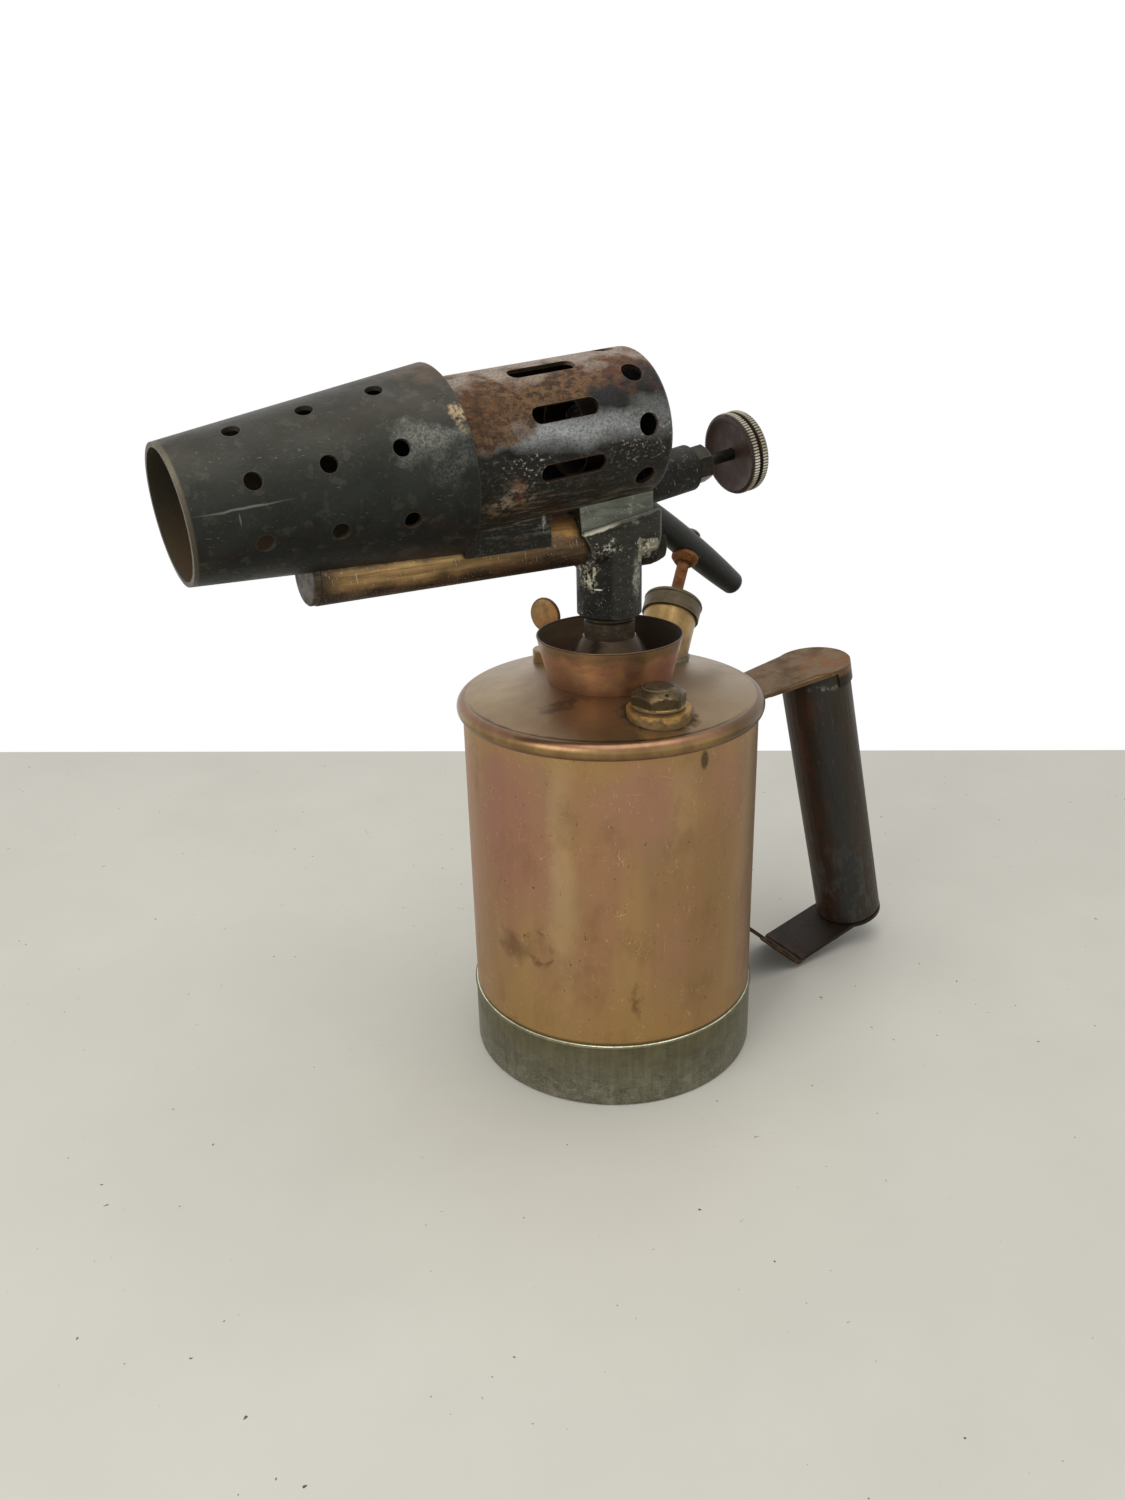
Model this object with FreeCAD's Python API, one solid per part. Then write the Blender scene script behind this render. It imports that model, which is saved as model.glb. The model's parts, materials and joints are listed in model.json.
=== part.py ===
import FreeCAD, Part
import math
import os
from FreeCAD import Placement, Rotation, Vector

# Paraffin blowlamp, millimetres. Origin: centre of the base on the bench. +Z up, +X the way the flame points,
# the carrying handle at -X. Each piece is one node in parts/.

# ---- fits ----
seat_gap = 0.05          # between round faces that are soldered, brazed or screwed together
running_gap = 0.06       # radial clearance of a shaft that turns or slides in its hole
thread_gap = 0.08        # radial clearance of a screw thread drawn as a plain shank
clear_gap = 0.35         # between pieces that pass each other without touching
edge_round = 0.5         # worn edges of turned pieces
hexagon_chamfer = 0.9

# ---- fuel tank ----
tank_radius = 60.0
tank_wall = 1.0
tank_top = 152.2         # lower edge of the dome's rolled bead
base_height = 28.3       # galvanised cup soldered round the foot of the tank
base_wall = 0.6
base_edge_roll = 0.4
base_edge_depth = 1.2
base_corner = 1.0
floor_height = 7.0       # flange height of the dished floor
floor_rise = 4.0
floor_wall = 1.0
floor_flat_radius = 8.0
bead_height = 6.3
bead_wall = 1.3
bead_bulge = 1.0
dome_slope = 9.4         # degrees, the dome is a shallow cone
dome_wall = 1.0
dome_inset = 1.2         # where the bead rolls over into the cone

# ---- neck, riser and priming cup ----
neck_hole_radius = 12.0
neck_flange_radius = 16.0
neck_depth = 6.0
neck_rise = 2.0
riser_length = 22.2      # visible part, from the neck up to the burner body
riser_radius = 10.1
riser_spigot_radius = 6.0
riser_thread_radius = 7.0
riser_thread_length = 9.0
riser_bore_radius = 3.2
riser_groove = 0.7
riser_groove_width = 0.9
riser_groove_drop = 2.2
cup_foot_inset = 35.0    # from the tank's side
cup_flare = 4.3
cup_rim_drop = 7.8       # below the burner body's foot
cup_wall = 0.8
cone_foot_inset = 3.5    # from the cup's foot
cone_top_drop = 8.6
cone_ring_width = 0.5
cone_collar = 1.6

# ---- pick-up tube ----
pickup_radius = 3.0
pickup_wall = 0.6
pickup_socket = 4.0      # length inside the riser's foot
pickup_straight = 1.0
pickup_bend_radius = 24.0
pickup_lean = 14.0       # degrees off the vertical, to pass the pump barrel
pickup_heading = -52.7   # degrees about +Z from +X
pickup_floor_gap = 4.0
strainer_radius = 4.6
strainer_length = 14.0
strainer_floor = 1.0

# ---- burner body, heights from the vaporiser's axis ----
body_half_width = 13.0
body_flat_half = 11.8
body_front = 19.0
body_front_chamfer = 3.1
body_chamfer_start = 2.9
body_chamfer_end = -2.2
body_rear = -17.6
body_rear_round = 4.0
body_flat_rear = -12.5
body_ledge = 4.3         # the milled flats end on a ledge that climbs towards the rear with the valve
body_web_half = 3.2
socket_radius = 12.8
socket_depth = 32.2      # from the vaporiser's axis down to the socket's foot
socket_chamfer = 0.9
jet_post_rear = -7.5
jet_post_front = 3.5
jet_post_width = 9.0
jet_boss_radius = 9.8
jet_boss_front = 13.0
jet_boss_back = -8.0
fuel_passage_radius = 2.6
fuel_passage = -3.4
vapour_passage_radius = 1.8
vapour_passage = 3.6
vapour_rise_x = -9.0
seat_passage_radius = 1.1
jet_passage_x = -3.0
jet_passage_radius = 1.5
cleaning_hex = 14.0
cleaning_thickness = 4.5
cleaning_drop = 6.6
cleaning_boss_radius = 8.2
cleaning_boss_out = 0.4
cleaning_thread_radius = 4.0
cleaning_thread_length = 6.0

# ---- burner axis, flame tube and nozzle ----
burner_rise = 39.8       # burner axis above the vaporiser's, over the riser
burner_dip = 5.2         # degrees, nose down
flame_radius = 27.3
flame_wall = 1.4
flame_back = -11.5       # along the burner axis
flame_front = 82.0
flame_corner = 3.0
flame_slot_start = 18.1
flame_slot_length = 26.5
flame_slot_width = 6.2
flame_slot_angles = (21.0, 62.5, 104.5)
flame_hole_radius = 4.0
flame_hole_along = -0.3
flame_hole_pitch = 42.0
flame_hole_pairs = 3
flame_keel_half = 9.4    # half width of the keel slot that the vaporiser lies in
lip_start = 32.5
lip_wall = 1.3
lip_foot = 0.6           # above the vaporiser's axis
lip_top = 29.8
nozzle_back = 70.8
nozzle_front = 163.9
nozzle_back_radius = 33.0
nozzle_edge = 0.5
nozzle_front_radius = 22.8
nozzle_wall = 1.6
nozzle_collar_wall = 1.4
nozzle_collar_length = 10.0
nozzle_hole_radius = 2.9
nozzle_hole_first = 94.5
nozzle_hole_pitch = 23.7
nozzle_hole_rings = 3
nozzle_hole_pairs = 3
nozzle_hole_turn = 45.0  # degrees between rows; the first pair stands half of it from the top

# ---- vaporiser and jet ----
vaporiser_radius = 10.6
vaporiser_front = 122.2
vaporiser_bore_radius = 6.5
vaporiser_seat_depth = 12.0
vaporiser_plug_thickness = 2.6
vaporiser_plug_spigot = 5.0
vaporiser_plug_step = 0.3
wick_gap = 0.3
wick_end_gap = 1.0
jet_bore_radius = 2.5
jet_hex = 8.0
jet_hex_length = 3.0
jet_nose_length = 3.0
jet_nose_radius = 1.6
jet_orifice_radius = 0.4
jet_feed_radius = 1.2
jet_thread_length = 5.0

# ---- control valve, measured along its axis from the wheel's middle plane towards the burner ----
wheel_centre_x = -61.3
wheel_rise = 24.8        # above the vaporiser's axis
valve_climb = 9.1        # degrees, the spindle rises towards the wheel
valve_boss_radius = 9.0
valve_boss_chamfer = 1.2
valve_boss_start = 23.2
valve_boss_length = 34.0
valve_bore_radius = 4.2
valve_chamber_radius = 3.2
valve_chamber_length = 6.5
valve_seat = 55.5
gland_hex = 13.0
gland_length = 6.8
gland_spigot = 5.0
packing_length = 5.0
spindle_radius = 2.3
spindle_tip_radius = 0.85
spindle_tip_length = 2.5
spindle_cone_length = 2.0
spindle_seat_clearance = 0.3
spindle_head_radius = 3.3
spindle_head_length = 1.4
wheel_radius = 16.2
wheel_width = 8.3
wheel_groove_width = 1.5
wheel_groove_depth = 1.6
wheel_edge_round = 2.7
wheel_dish = 0.4
wheel_hub_radius = 6.0
wheel_back_dish = 2.0

# ---- pump, measured along its axis from the entry point ----
pump_entry_inset = 22.36 # from the tank's side
pump_entry_bearing = 204.3
pump_entry_depth = 4.0   # below the dome's face
pump_lean = 45.0         # degrees off the vertical
pump_heading = 217.0     # degrees about +Z from +X
barrel_radius = 11.5
barrel_wall = 1.0
barrel_inside_length = 98.0
ferrule_wall = 0.9
ferrule_height = 1.6
ferrule_cup_gap = 1.2
cap_edge = 24.8
cap_wall = 1.0
cap_skirt = 8.2
cap_top = 2.6
cap_bead = 0.35
cap_bead_width = 1.2
cap_bead_drop = 1.5
cap_vent_radius = 0.8
rod_radius = 2.65
rod_tail_radius = 1.8
piston_skirt = 5.6
piston_wall = 1.6
piston_washer_radius = 7.6
piston_washer_thickness = 1.2
piston_nut_hex = 7.0
piston_nut_length = 3.2
piston_floor_gap = 1.5
pump_handle_along = 61.5
pump_handle_turn = -28.0 # degrees about the pump axis from the downhill line
pump_handle_length = 72.0
pump_handle_mid_radius = 6.5
pump_handle_end_radius = 5.3
pump_handle_round = 3.4
handle_collar_radius = 6.0
handle_collar_foot = 4.0
handle_collar_rim = 1.6
handle_collar_length = 4.0
handle_flat_depth = 1.2  # seats cut across the round handle for the collar and the rivet
handle_rivet_radius = 4.4
handle_rivet_height = 1.8
handle_rivet_thickness = 0.8
handle_rivet_flat = 1.0
handle_rivet_shoulder = 3.2

# ---- non-return valve at the foot of the pump barrel ----
check_plug_length = 5.0
check_spigot_length = 1.5
check_stub_radius = 3.2
check_stub_length = 1.0
check_air_radius = 1.2
cage_radius = 6.6
cage_wall = 0.8
cage_length = 12.0
cage_floor = 1.2
cage_outlet_radius = 1.6
pellet_radius = 5.4
pellet_thickness = 2.4
pellet_travel = 1.5
check_spring_radius = 3.4
check_spring_wire = 0.35
check_spring_turns = 4

# ---- filler ----
filler_x = 5.0
filler_inset = 18.7      # from the tank's side
filler_boss_radius = 12.3
filler_boss_height = 3.0
filler_boss_depth = 7.0
filler_neck_radius = 10.2
filler_thread_radius = 7.6
filler_thread_length = 8.5
filler_gasket_thickness = 0.7
filler_gasket_radius = 10.0
filler_flange_radius = 10.3
filler_flange_thickness = 1.0
filler_hex = 19.0
filler_hex_turn = 27.0   # degrees about +Z
filler_hex_height = 3.2
filler_crown_height = 2.9
filler_disc_radius = 6.2
filler_disc_step = 0.6
filler_dish_radius = 4.8
filler_dish_depth = 0.5
filler_vent_radius = 0.6
filler_vent_out = 7.3
filler_vent_bearing = 33.0
filler_vent_depth = 3.0

# ---- air-release screw ----
air_x = 5.5
air_inset = 18.5         # from the tank's side
air_boss_radius = 6.0
air_boss_height = 5.6
air_boss_depth = 3.0
air_boss_spigot_radius = 4.0
air_hole_radius = 1.0
air_seat_floor = 1.5
air_stem_radius = 2.6
air_stem_rise = 2.4
air_cone_height = 1.6
air_pin_radius = 1.3
air_pin_length = 4.6
air_neck_rise = 4.0
air_coin_radius = 7.5
air_coin_thickness = 1.7
air_coin_height = 14.6   # the coin's centre above the top of the boss
air_coin_turn = 41.0     # degrees about +Z, the way the coin faces

# ---- carrying handle ----
grip_radius = 15.6
grip_reach = 82.6        # from the tank's side to the grip's axis at its foot
grip_bottom_height = 15.3
grip_lean = 13.9         # degrees, the grip leans towards the tank at the top
grip_edge = 0.8
grip_bore_radius = 3.0
strap_thickness = 1.8
strap_width = 26.6
strap_climb = 7.6        # degrees, the top strap rises away from the tank
strap_root_drop = 7.6    # upper face of the top strap below the bead, where it leaves the tank
strap_cap_wall = 0.9
strap_lip_depth = 7.0
strap_tab_height = 20.0
strap_nut_radius = 6.0
strap_nut_depth = 7.0
foot_cap_wall = 0.15
foot_reach = 39.0        # from the tank's side to the lower strap's fold
foot_rise = 42.0         # degrees, the lower strap's climb from its fold to the tank
foot_bend_radius = 4.0
grip_bolt_radius = 2.5
grip_bolt_head_radius = 4.5
grip_bolt_head_length = 2.4
grip_bolt_engagement = 5.0

# ---- worked out from the above ----
ABOUT_Y = Vector(0, 1, 0)
ABOUT_Z = Vector(0, 0, 1)
far = 400.0              # longer than anything it cuts
bead_top = tank_top + bead_height
dome_edge_radius = tank_radius - dome_inset
slope = math.tan(math.radians(dome_slope))


def dome_z(radius):
    """Height of the dome's outer face at a distance from the tank's axis."""
    return bead_top + (dome_edge_radius - radius) * slope


neck_top = dome_z(neck_hole_radius) + neck_rise
neck_bottom = neck_top - neck_rise - neck_depth
socket_bottom = neck_top + riser_length
cup_foot_radius = tank_radius - cup_foot_inset
cup_rim_radius = cup_foot_radius + cup_flare
cup_rim_height = socket_bottom - cup_rim_drop
cone_foot_radius = cup_foot_radius - cone_foot_inset
cone_top_height = socket_bottom - cone_top_drop
vaporiser_height = socket_bottom + socket_depth
wheel_centre_height = vaporiser_height + wheel_rise
burner_height = vaporiser_height + burner_rise
pump_entry_radius = tank_radius - pump_entry_inset
pump_entry = Rotation(ABOUT_Z, pump_entry_bearing).multVec(Vector(pump_entry_radius, 0, 0))
pump_entry.z = dome_z(pump_entry_radius) - pump_entry_depth
filler_y = tank_radius - filler_inset
air_y = air_inset - tank_radius
grip_bottom_x = -tank_radius - grip_reach
foot_fold_x = -tank_radius - foot_reach
strap_root_height = tank_top - strap_root_drop

BURNER = Placement(Vector(0, 0, burner_height), Rotation(ABOUT_Y, 90 + burner_dip))
VALVE = Placement(Vector(wheel_centre_x, 0, wheel_centre_height), Rotation(ABOUT_Y, 90 + valve_climb))
VAPORISER = Placement(Vector(0, 0, vaporiser_height), Rotation(ABOUT_Y, 90))
FUEL_PASSAGE = Placement(Vector(0, 0, vaporiser_height + fuel_passage), Rotation(ABOUT_Y, 90))
VAPOUR_PASSAGE = Placement(Vector(0, 0, vaporiser_height + vapour_passage), Rotation(ABOUT_Y, 90))
CLEANING = Placement(Vector(0, 0, vaporiser_height - cleaning_drop), Rotation(ABOUT_Y, 90))
TURNED_OVER = Placement(Vector(0, 0, 0), Rotation(ABOUT_Y, 180))
PUMP = Placement(pump_entry, Rotation(ABOUT_Z, pump_heading) * Rotation(ABOUT_Y, pump_lean))
GRIP = Placement(Vector(grip_bottom_x, 0, grip_bottom_height), Rotation(ABOUT_Y, grip_lean))
FILLER = Placement(Vector(filler_x, filler_y, 0), Rotation())
AIR_SCREW = Placement(Vector(air_x, air_y, 0), Rotation())

barrel_inner = barrel_radius - barrel_wall
barrel_top = cap_edge + cap_skirt - cap_top
barrel_foot = -barrel_inside_length
piston_foot = barrel_foot + check_plug_length + piston_floor_gap
piston_face = piston_foot + piston_nut_length + piston_washer_thickness
leather_top = piston_face + piston_wall
rod_shoulder = leather_top + piston_washer_thickness
gland_start = valve_boss_start - gland_length
packing_start = valve_boss_start + gland_spigot + seat_gap
packing_end = packing_start + packing_length
half_strap = strap_width / 2
crown_share = 0.65       # how high a crown stands half-way out
bulge_share = 1 - math.sqrt(0.5)    # how far a quarter round's middle lies inside its corner


def rod(radius, start, end):
    """A round bar on +Z between two heights."""
    return Part.makeCylinder(radius, end - start, Vector(0, 0, start))


def tube(outer, inner, start, end):
    """A round tube on +Z between two heights."""
    return rod(outer, start, end).cut(rod(inner, start - 1, end + 1))


def block(low_x, high_x, low_y, high_y, low_z, high_z):
    """A box between pairs of coordinates."""
    return Part.makeBox(high_x - low_x, high_y - low_y, high_z - low_z, Vector(low_x, low_y, low_z))


def profile(points):
    """A face in the XZ plane. points are (x, z) corners or (x, z, x, z) arcs: middle, then end."""
    edges = []
    here = Vector(points[0][0], 0, points[0][1])
    for point in list(points[1:]) + [points[0]]:
        there = Vector(point[-2], 0, point[-1])
        if (there - here).Length < 1e-6:
            continue
        if len(point) == 4:
            edges.append(Part.Arc(here, Vector(point[0], 0, point[1]), there).toShape())
        else:
            edges.append(Part.LineSegment(here, there).toShape())
        here = there
    return Part.Face(Part.Wire(edges))


def turned(points):
    """A solid of revolution about Z from a profile of radii and heights."""
    return profile(points).revolve(Vector(0, 0, 0), ABOUT_Z, 360)


def plate(points, low, high):
    """A plate with its profile in the XZ plane, between two values of Y."""
    face = profile(points)
    face.translate(Vector(0, low, 0))
    return face.extrude(Vector(0, high - low, 0))


def hexagon(across_flats, start, end, chamfer=0.0):
    """A hexagonal bar on +Z; the corners at its end are turned off when chamfer is set."""
    corner = across_flats / math.sqrt(3)
    ring = [Vector(corner, 0, start)]
    for step in range(1, 7):
        ring.append(Rotation(ABOUT_Z, 60 * step).multVec(ring[0]))
    bar = Part.Face(Part.makePolygon(ring)).extrude(Vector(0, 0, end - start))
    if chamfer:
        outer = corner + 1
        bar = bar.common(turned([(0, start), (outer, start), (outer, end - 1.5 * chamfer),
                                 (corner - chamfer, end), (0, end)]))
    return bar


def placed(shape, placement):
    """A copy of a shape that was drawn on +Z, moved to its own axis."""
    moved = shape.copy()
    moved.Placement = placement.multiply(moved.Placement)
    return moved


def turned_about_z(shape, angle):
    """A copy of a shape turned about +Z."""
    return placed(shape, Placement(Vector(0, 0, 0), Rotation(ABOUT_Z, angle)))


def below_dome(lift):
    """Everything under a cone that lies a little above the dome's outer face."""
    reach = 2 * tank_radius
    return turned([(0, 0), (reach, 0), (reach, dome_z(reach) + lift), (0, dome_z(0) + lift)])


# ---------------------------------------------------------------- tank

def make_base_cup():
    """Drawn cup round the tank's foot, its upper edge rolled outwards."""
    outer = tank_radius + seat_gap + base_wall
    corner = base_corner
    roll = base_edge_depth
    return turned([(0, 0), (outer - corner, 0), (outer - bulge_share * corner, bulge_share * corner, outer, corner),
                   (outer, base_height - roll), (outer + base_edge_roll, base_height - roll / 2, outer, base_height),
                   (outer - base_wall, base_height), (outer - base_wall, base_wall), (0, base_wall)])


def make_tank_shell():
    return tube(tank_radius, tank_radius - tank_wall, base_wall, tank_top + bead_height / 2)


def make_tank_floor():
    """Dished floor, its flange pointing down inside the shell."""
    outer = tank_radius - tank_wall - seat_gap
    low = base_wall
    top = low + floor_height
    rise = top + floor_rise
    inner = outer - floor_wall
    flat = floor_flat_radius
    return turned([(outer, low), (outer, top), (outer - 2, top), (outer / 2, rise, flat, rise + 1), (0, rise + 1),
                   (0, rise + 1 - floor_wall), (flat, rise + 1 - floor_wall),
                   (outer / 2, rise - floor_wall, inner - 2, top - floor_wall), (inner, top - floor_wall), (inner, low)])


def make_tank_dome():
    inner = tank_radius + seat_gap
    skirt = inner + bead_wall
    middle = tank_top + bead_height / 2
    hole = neck_hole_radius
    dome = turned([(inner, tank_top), (skirt, tank_top), (skirt + bead_bulge, middle, dome_edge_radius, bead_top),
                   (hole, dome_z(hole)), (hole, dome_z(hole) - dome_wall), (dome_edge_radius, bead_top - dome_wall),
                   (inner, middle + 1)])
    barrel_hole = placed(rod(barrel_radius + seat_gap, barrel_foot, cap_edge), PUMP)
    filler_hole = placed(rod(filler_neck_radius + seat_gap, tank_top, far), FILLER)
    air_hole = placed(rod(air_boss_spigot_radius + seat_gap, tank_top, far), AIR_SCREW)
    return dome.cut([barrel_hole, filler_hole, air_hole])


def make_neck_bush():
    """Brass bush soldered through the dome; its flange lies against the dome from inside."""
    hole = neck_hole_radius - seat_gap
    flange = neck_flange_radius
    under = dome_wall + seat_gap
    return turned([(riser_spigot_radius, neck_bottom), (flange, neck_bottom), (flange, dome_z(flange) - under),
                   (hole, dome_z(hole) - under), (hole, neck_top), (riser_spigot_radius, neck_top)])


def make_riser():
    """Screwed pipe from the neck bush up into the burner body, with a turned groove near its top."""
    spigot = riser_spigot_radius - thread_gap
    thread = riser_thread_radius - thread_gap
    groove = socket_bottom - riser_groove_drop
    groove_end = groove + riser_groove_width
    end = socket_bottom + riser_thread_length
    return turned([(riser_bore_radius, neck_bottom), (spigot, neck_bottom), (spigot, neck_top),
                   (riser_radius, neck_top), (riser_radius, groove), 
                   (riser_radius - riser_groove, groove + riser_groove_width / 3), (riser_radius, groove_end),
                   (riser_radius, socket_bottom), (thread, socket_bottom),
                   (thread, end), (riser_bore_radius, end)])


def make_priming_cup():
    """One spun sheet: conical wall, narrow floor on the dome, and a centre cone that hugs the riser."""
    foot = cup_foot_radius
    rim = cup_rim_radius
    hug = riser_radius + seat_gap
    ring = hug + cone_ring_width
    base = cone_foot_radius
    inside = base - cup_wall / 2
    lift = seat_gap
    return turned([(foot, dome_z(foot) + lift), (rim, cup_rim_height - 0.5),
                   (rim - cup_wall / 2, cup_rim_height, rim - cup_wall, cup_rim_height - 0.5),
                   (foot - cup_wall, dome_z(foot) + lift + cup_wall + 0.4),
                   (base + cup_wall, dome_z(base) + lift + cup_wall), (ring + 0.3, cone_top_height - 0.5),
                   (ring, cone_top_height), (hug, cone_top_height), (hug, cone_top_height - cone_collar),
                   (inside, dome_z(inside) + lift)])


def make_pickup_tube():
    """Fuel pipe from the neck almost to the tank's floor, bent aside to pass the pump barrel."""
    lean = math.radians(pickup_lean)
    top = neck_bottom + pickup_socket
    bend_start = neck_bottom - pickup_straight
    turn = pickup_bend_radius
    bend_end = Vector(turn * (1 - math.cos(lean)), 0, bend_start - turn * math.sin(lean))
    bend_mid = Vector(turn * (1 - math.cos(lean / 2)), 0, bend_start - turn * math.sin(lean / 2))
    floor_top = base_wall + floor_height + floor_rise + 1
    reach = (bend_end.z - floor_top - pickup_floor_gap) / math.cos(lean)
    foot = bend_end + Vector(math.sin(lean), 0, -math.cos(lean)) * reach
    path = Part.Wire([Part.LineSegment(Vector(0, 0, top), Vector(0, 0, bend_start)).toShape(),
                      Part.Arc(Vector(0, 0, bend_start), bend_mid, bend_end).toShape(),
                      Part.LineSegment(bend_end, foot).toShape()])

    def swept(radius):
        ring = Part.Wire(Part.makeCircle(radius, Vector(0, 0, top), ABOUT_Z))
        return path.makePipeShell([ring], True, True)

    pipe = turned_about_z(swept(pickup_radius).cut(swept(pickup_radius - pickup_wall)), pickup_heading)
    sieve = tube(strainer_radius, pickup_radius + seat_gap, 0, strainer_length)
    sieve = sieve.fuse(rod(strainer_radius, -strainer_floor, 0)).removeSplitter()
    foot_place = Placement(foot, Rotation(ABOUT_Y, -pickup_lean))
    return pipe, turned_about_z(placed(sieve, foot_place), pickup_heading)


# ---------------------------------------------------------------- burner body

def ledge_z(x):
    """Height of the ledge below the milled flats; it climbs towards the rear like the valve."""
    return vaporiser_height + body_ledge + (body_front - x) * math.tan(math.radians(valve_climb))


def make_lower_body():
    """The round-bellied lower half of the T casting, around the vaporiser's seat."""
    half = body_half_width
    low = vaporiser_height - half
    side = [(body_rear, low), (socket_radius, low),
            (body_front - body_front_chamfer, vaporiser_height + body_chamfer_end),
            (body_front, vaporiser_height + body_chamfer_start), (body_front, ledge_z(body_front)),
            (body_rear, ledge_z(body_rear))]
    belly = placed(rod(half, body_rear - 1, body_front + 1), VAPORISER)
    cheeks = block(body_rear - 1, body_front + 1, -half, half, vaporiser_height, ledge_z(body_rear) + 1)
    lower = plate(side, -half, half).common(belly.fuse(cheeks))
    rear_edges = [edge for edge in lower.Edges if edge.BoundBox.XMax < body_rear + 0.01]
    return lower.makeFillet(body_rear_round, rear_edges)


def make_burner_body():
    """T casting: socket on the riser, cradle for the flame tube, jet post and the sloping valve boss."""
    nose = body_front + (burner_height - vaporiser_height) * math.tan(math.radians(burner_dip))
    upper = plate([(body_flat_rear, ledge_z(body_flat_rear) - 1), (body_front, ledge_z(body_front) - 1),
                   (nose, burner_height), (body_flat_rear, burner_height)], -body_flat_half, body_flat_half)
    web = block(body_rear, body_flat_rear + 1, -body_web_half, body_web_half, vaporiser_height, wheel_centre_height)
    saddle = upper.fuse(web).cut(placed(rod(flame_radius + seat_gap, -far / 2, far / 2), BURNER))
    socket = turned([(0, socket_bottom), (socket_radius - socket_chamfer, socket_bottom),
                     (socket_radius, socket_bottom + socket_chamfer), (socket_radius, vaporiser_height),
                     (0, vaporiser_height)])
    cleaning_boss = rod(cleaning_boss_radius, body_rear - cleaning_boss_out, 0)
    cleaning_boss = placed(cleaning_boss, CLEANING)
    boss_end = valve_boss_start + valve_boss_length
    boss = placed(turned([(0, valve_boss_start), (valve_boss_radius - valve_boss_chamfer, valve_boss_start),
                          (valve_boss_radius, valve_boss_start + valve_boss_chamfer),
                          (valve_boss_radius, boss_end), (0, boss_end)]), VALVE)
    post = block(jet_post_rear, jet_post_front, -jet_post_width / 2, jet_post_width / 2,
                 vaporiser_height, burner_height)
    jet_boss = placed(rod(jet_boss_radius, jet_boss_back, jet_boss_front), BURNER)
    body = make_lower_body().fuse([saddle, socket, cleaning_boss, boss, post, jet_boss])
    return body.cut(body_passages()).removeSplitter()


def body_passages():
    """Bores of the T casting: fuel up and forward, vapour back, past the valve seat and up to the jet."""
    seat_back = body_front - vaporiser_seat_depth
    riser_top = socket_bottom + riser_thread_length
    valve_x = Vector(0, 0, valve_seat)
    valve_slope = math.tan(math.radians(valve_climb))
    rise_top = wheel_centre_height - (vapour_rise_x - wheel_centre_x) * valve_slope
    jet_low = wheel_centre_height - (jet_passage_x - wheel_centre_x) * valve_slope
    seat_end = (jet_passage_x - wheel_centre_x) / math.cos(math.radians(valve_climb))
    fuel_run = rod(fuel_passage_radius, 0, seat_back + 1)
    vapour_run = rod(vapour_passage_radius, vapour_rise_x, seat_back + 1)
    cleaning_run = rod(cleaning_thread_radius, body_rear - cleaning_boss_out - 1, body_rear + cleaning_thread_length)
    cleaning_way = rod(vapour_passage_radius, body_rear + cleaning_thread_length - 1, 0)
    vapour_rise = rod(vapour_passage_radius, vaporiser_height + vapour_passage, rise_top)
    vapour_rise.translate(Vector(vapour_rise_x, 0, 0))
    jet_rise = rod(jet_passage_radius, jet_low, burner_height)
    jet_rise.translate(Vector(jet_passage_x, 0, 0))
    return [rod(riser_thread_radius, socket_bottom - 1, riser_top + seat_gap),
            rod(fuel_passage_radius, riser_top, vaporiser_height + fuel_passage),
            placed(fuel_run, FUEL_PASSAGE),
            placed(rod(vaporiser_radius + seat_gap, seat_back, far), VAPORISER),
            placed(vapour_run, VAPOUR_PASSAGE),
            vapour_rise,
            jet_rise,
            placed(cleaning_run, CLEANING),
            placed(cleaning_way, CLEANING),
            placed(rod(jet_bore_radius, jet_passage_x, jet_boss_front + 1), BURNER),
            placed(rod(valve_bore_radius, valve_boss_start - 1, packing_end + seat_gap), VALVE),
            placed(rod(spindle_radius + running_gap, packing_end, valve_seat), VALVE),
            placed(rod(valve_chamber_radius, valve_seat - valve_chamber_length, valve_seat), VALVE),
            placed(rod(seat_passage_radius, valve_x.z - 1, seat_end), VALVE)]


def make_cleaning_plug():
    """Hexagon plug at the rear of the casting, over the fuel passage."""
    face = body_rear - cleaning_boss_out - seat_gap
    head = placed(hexagon(cleaning_hex, -face, cleaning_thickness - face, hexagon_chamfer), TURNED_OVER)
    shank = rod(cleaning_thread_radius - thread_gap, face, face + cleaning_thread_length)
    return placed(head.fuse(shank), CLEANING)


def make_jet():
    """Screw-in jet: thread in the jet boss, hexagon, conical nose with a fine orifice."""
    seat = jet_boss_front + seat_gap
    hex_end = seat + jet_hex_length
    end = hex_end + jet_nose_length
    thread = jet_bore_radius - thread_gap
    nose = turned([(0, seat - jet_thread_length), (thread, seat - jet_thread_length), (thread, hex_end),
                   (jet_hex / 2 - edge_round, hex_end), (jet_nose_radius, end), (0, end)])
    feed = rod(jet_feed_radius, seat - jet_thread_length - 1, hex_end)
    jet = nose.fuse(hexagon(jet_hex, seat, hex_end)).cut(feed)
    return placed(jet.cut(rod(jet_orifice_radius, hex_end - 1, end + 1)), BURNER)


# ---------------------------------------------------------------- flame tube, nozzle and vaporiser

def slot_cutter(start, length, width):
    """An oblong slot to be cut outwards through a tube's top, along its axis."""
    radius = width / 2
    low = start + radius
    high = start + length - radius
    bar = block(-far, -1, -radius, radius, low, high)
    for along in (low, high):
        end = Part.makeCylinder(radius, far - 1, Vector(-1, 0, along), Vector(-1, 0, 0))
        bar = bar.fuse(end)
    return bar


def hole_cutter(radius, along):
    """A round hole to be drilled outwards through a tube's top."""
    return Part.makeCylinder(radius, far - 1, Vector(-1, 0, along), Vector(-1, 0, 0))


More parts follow.
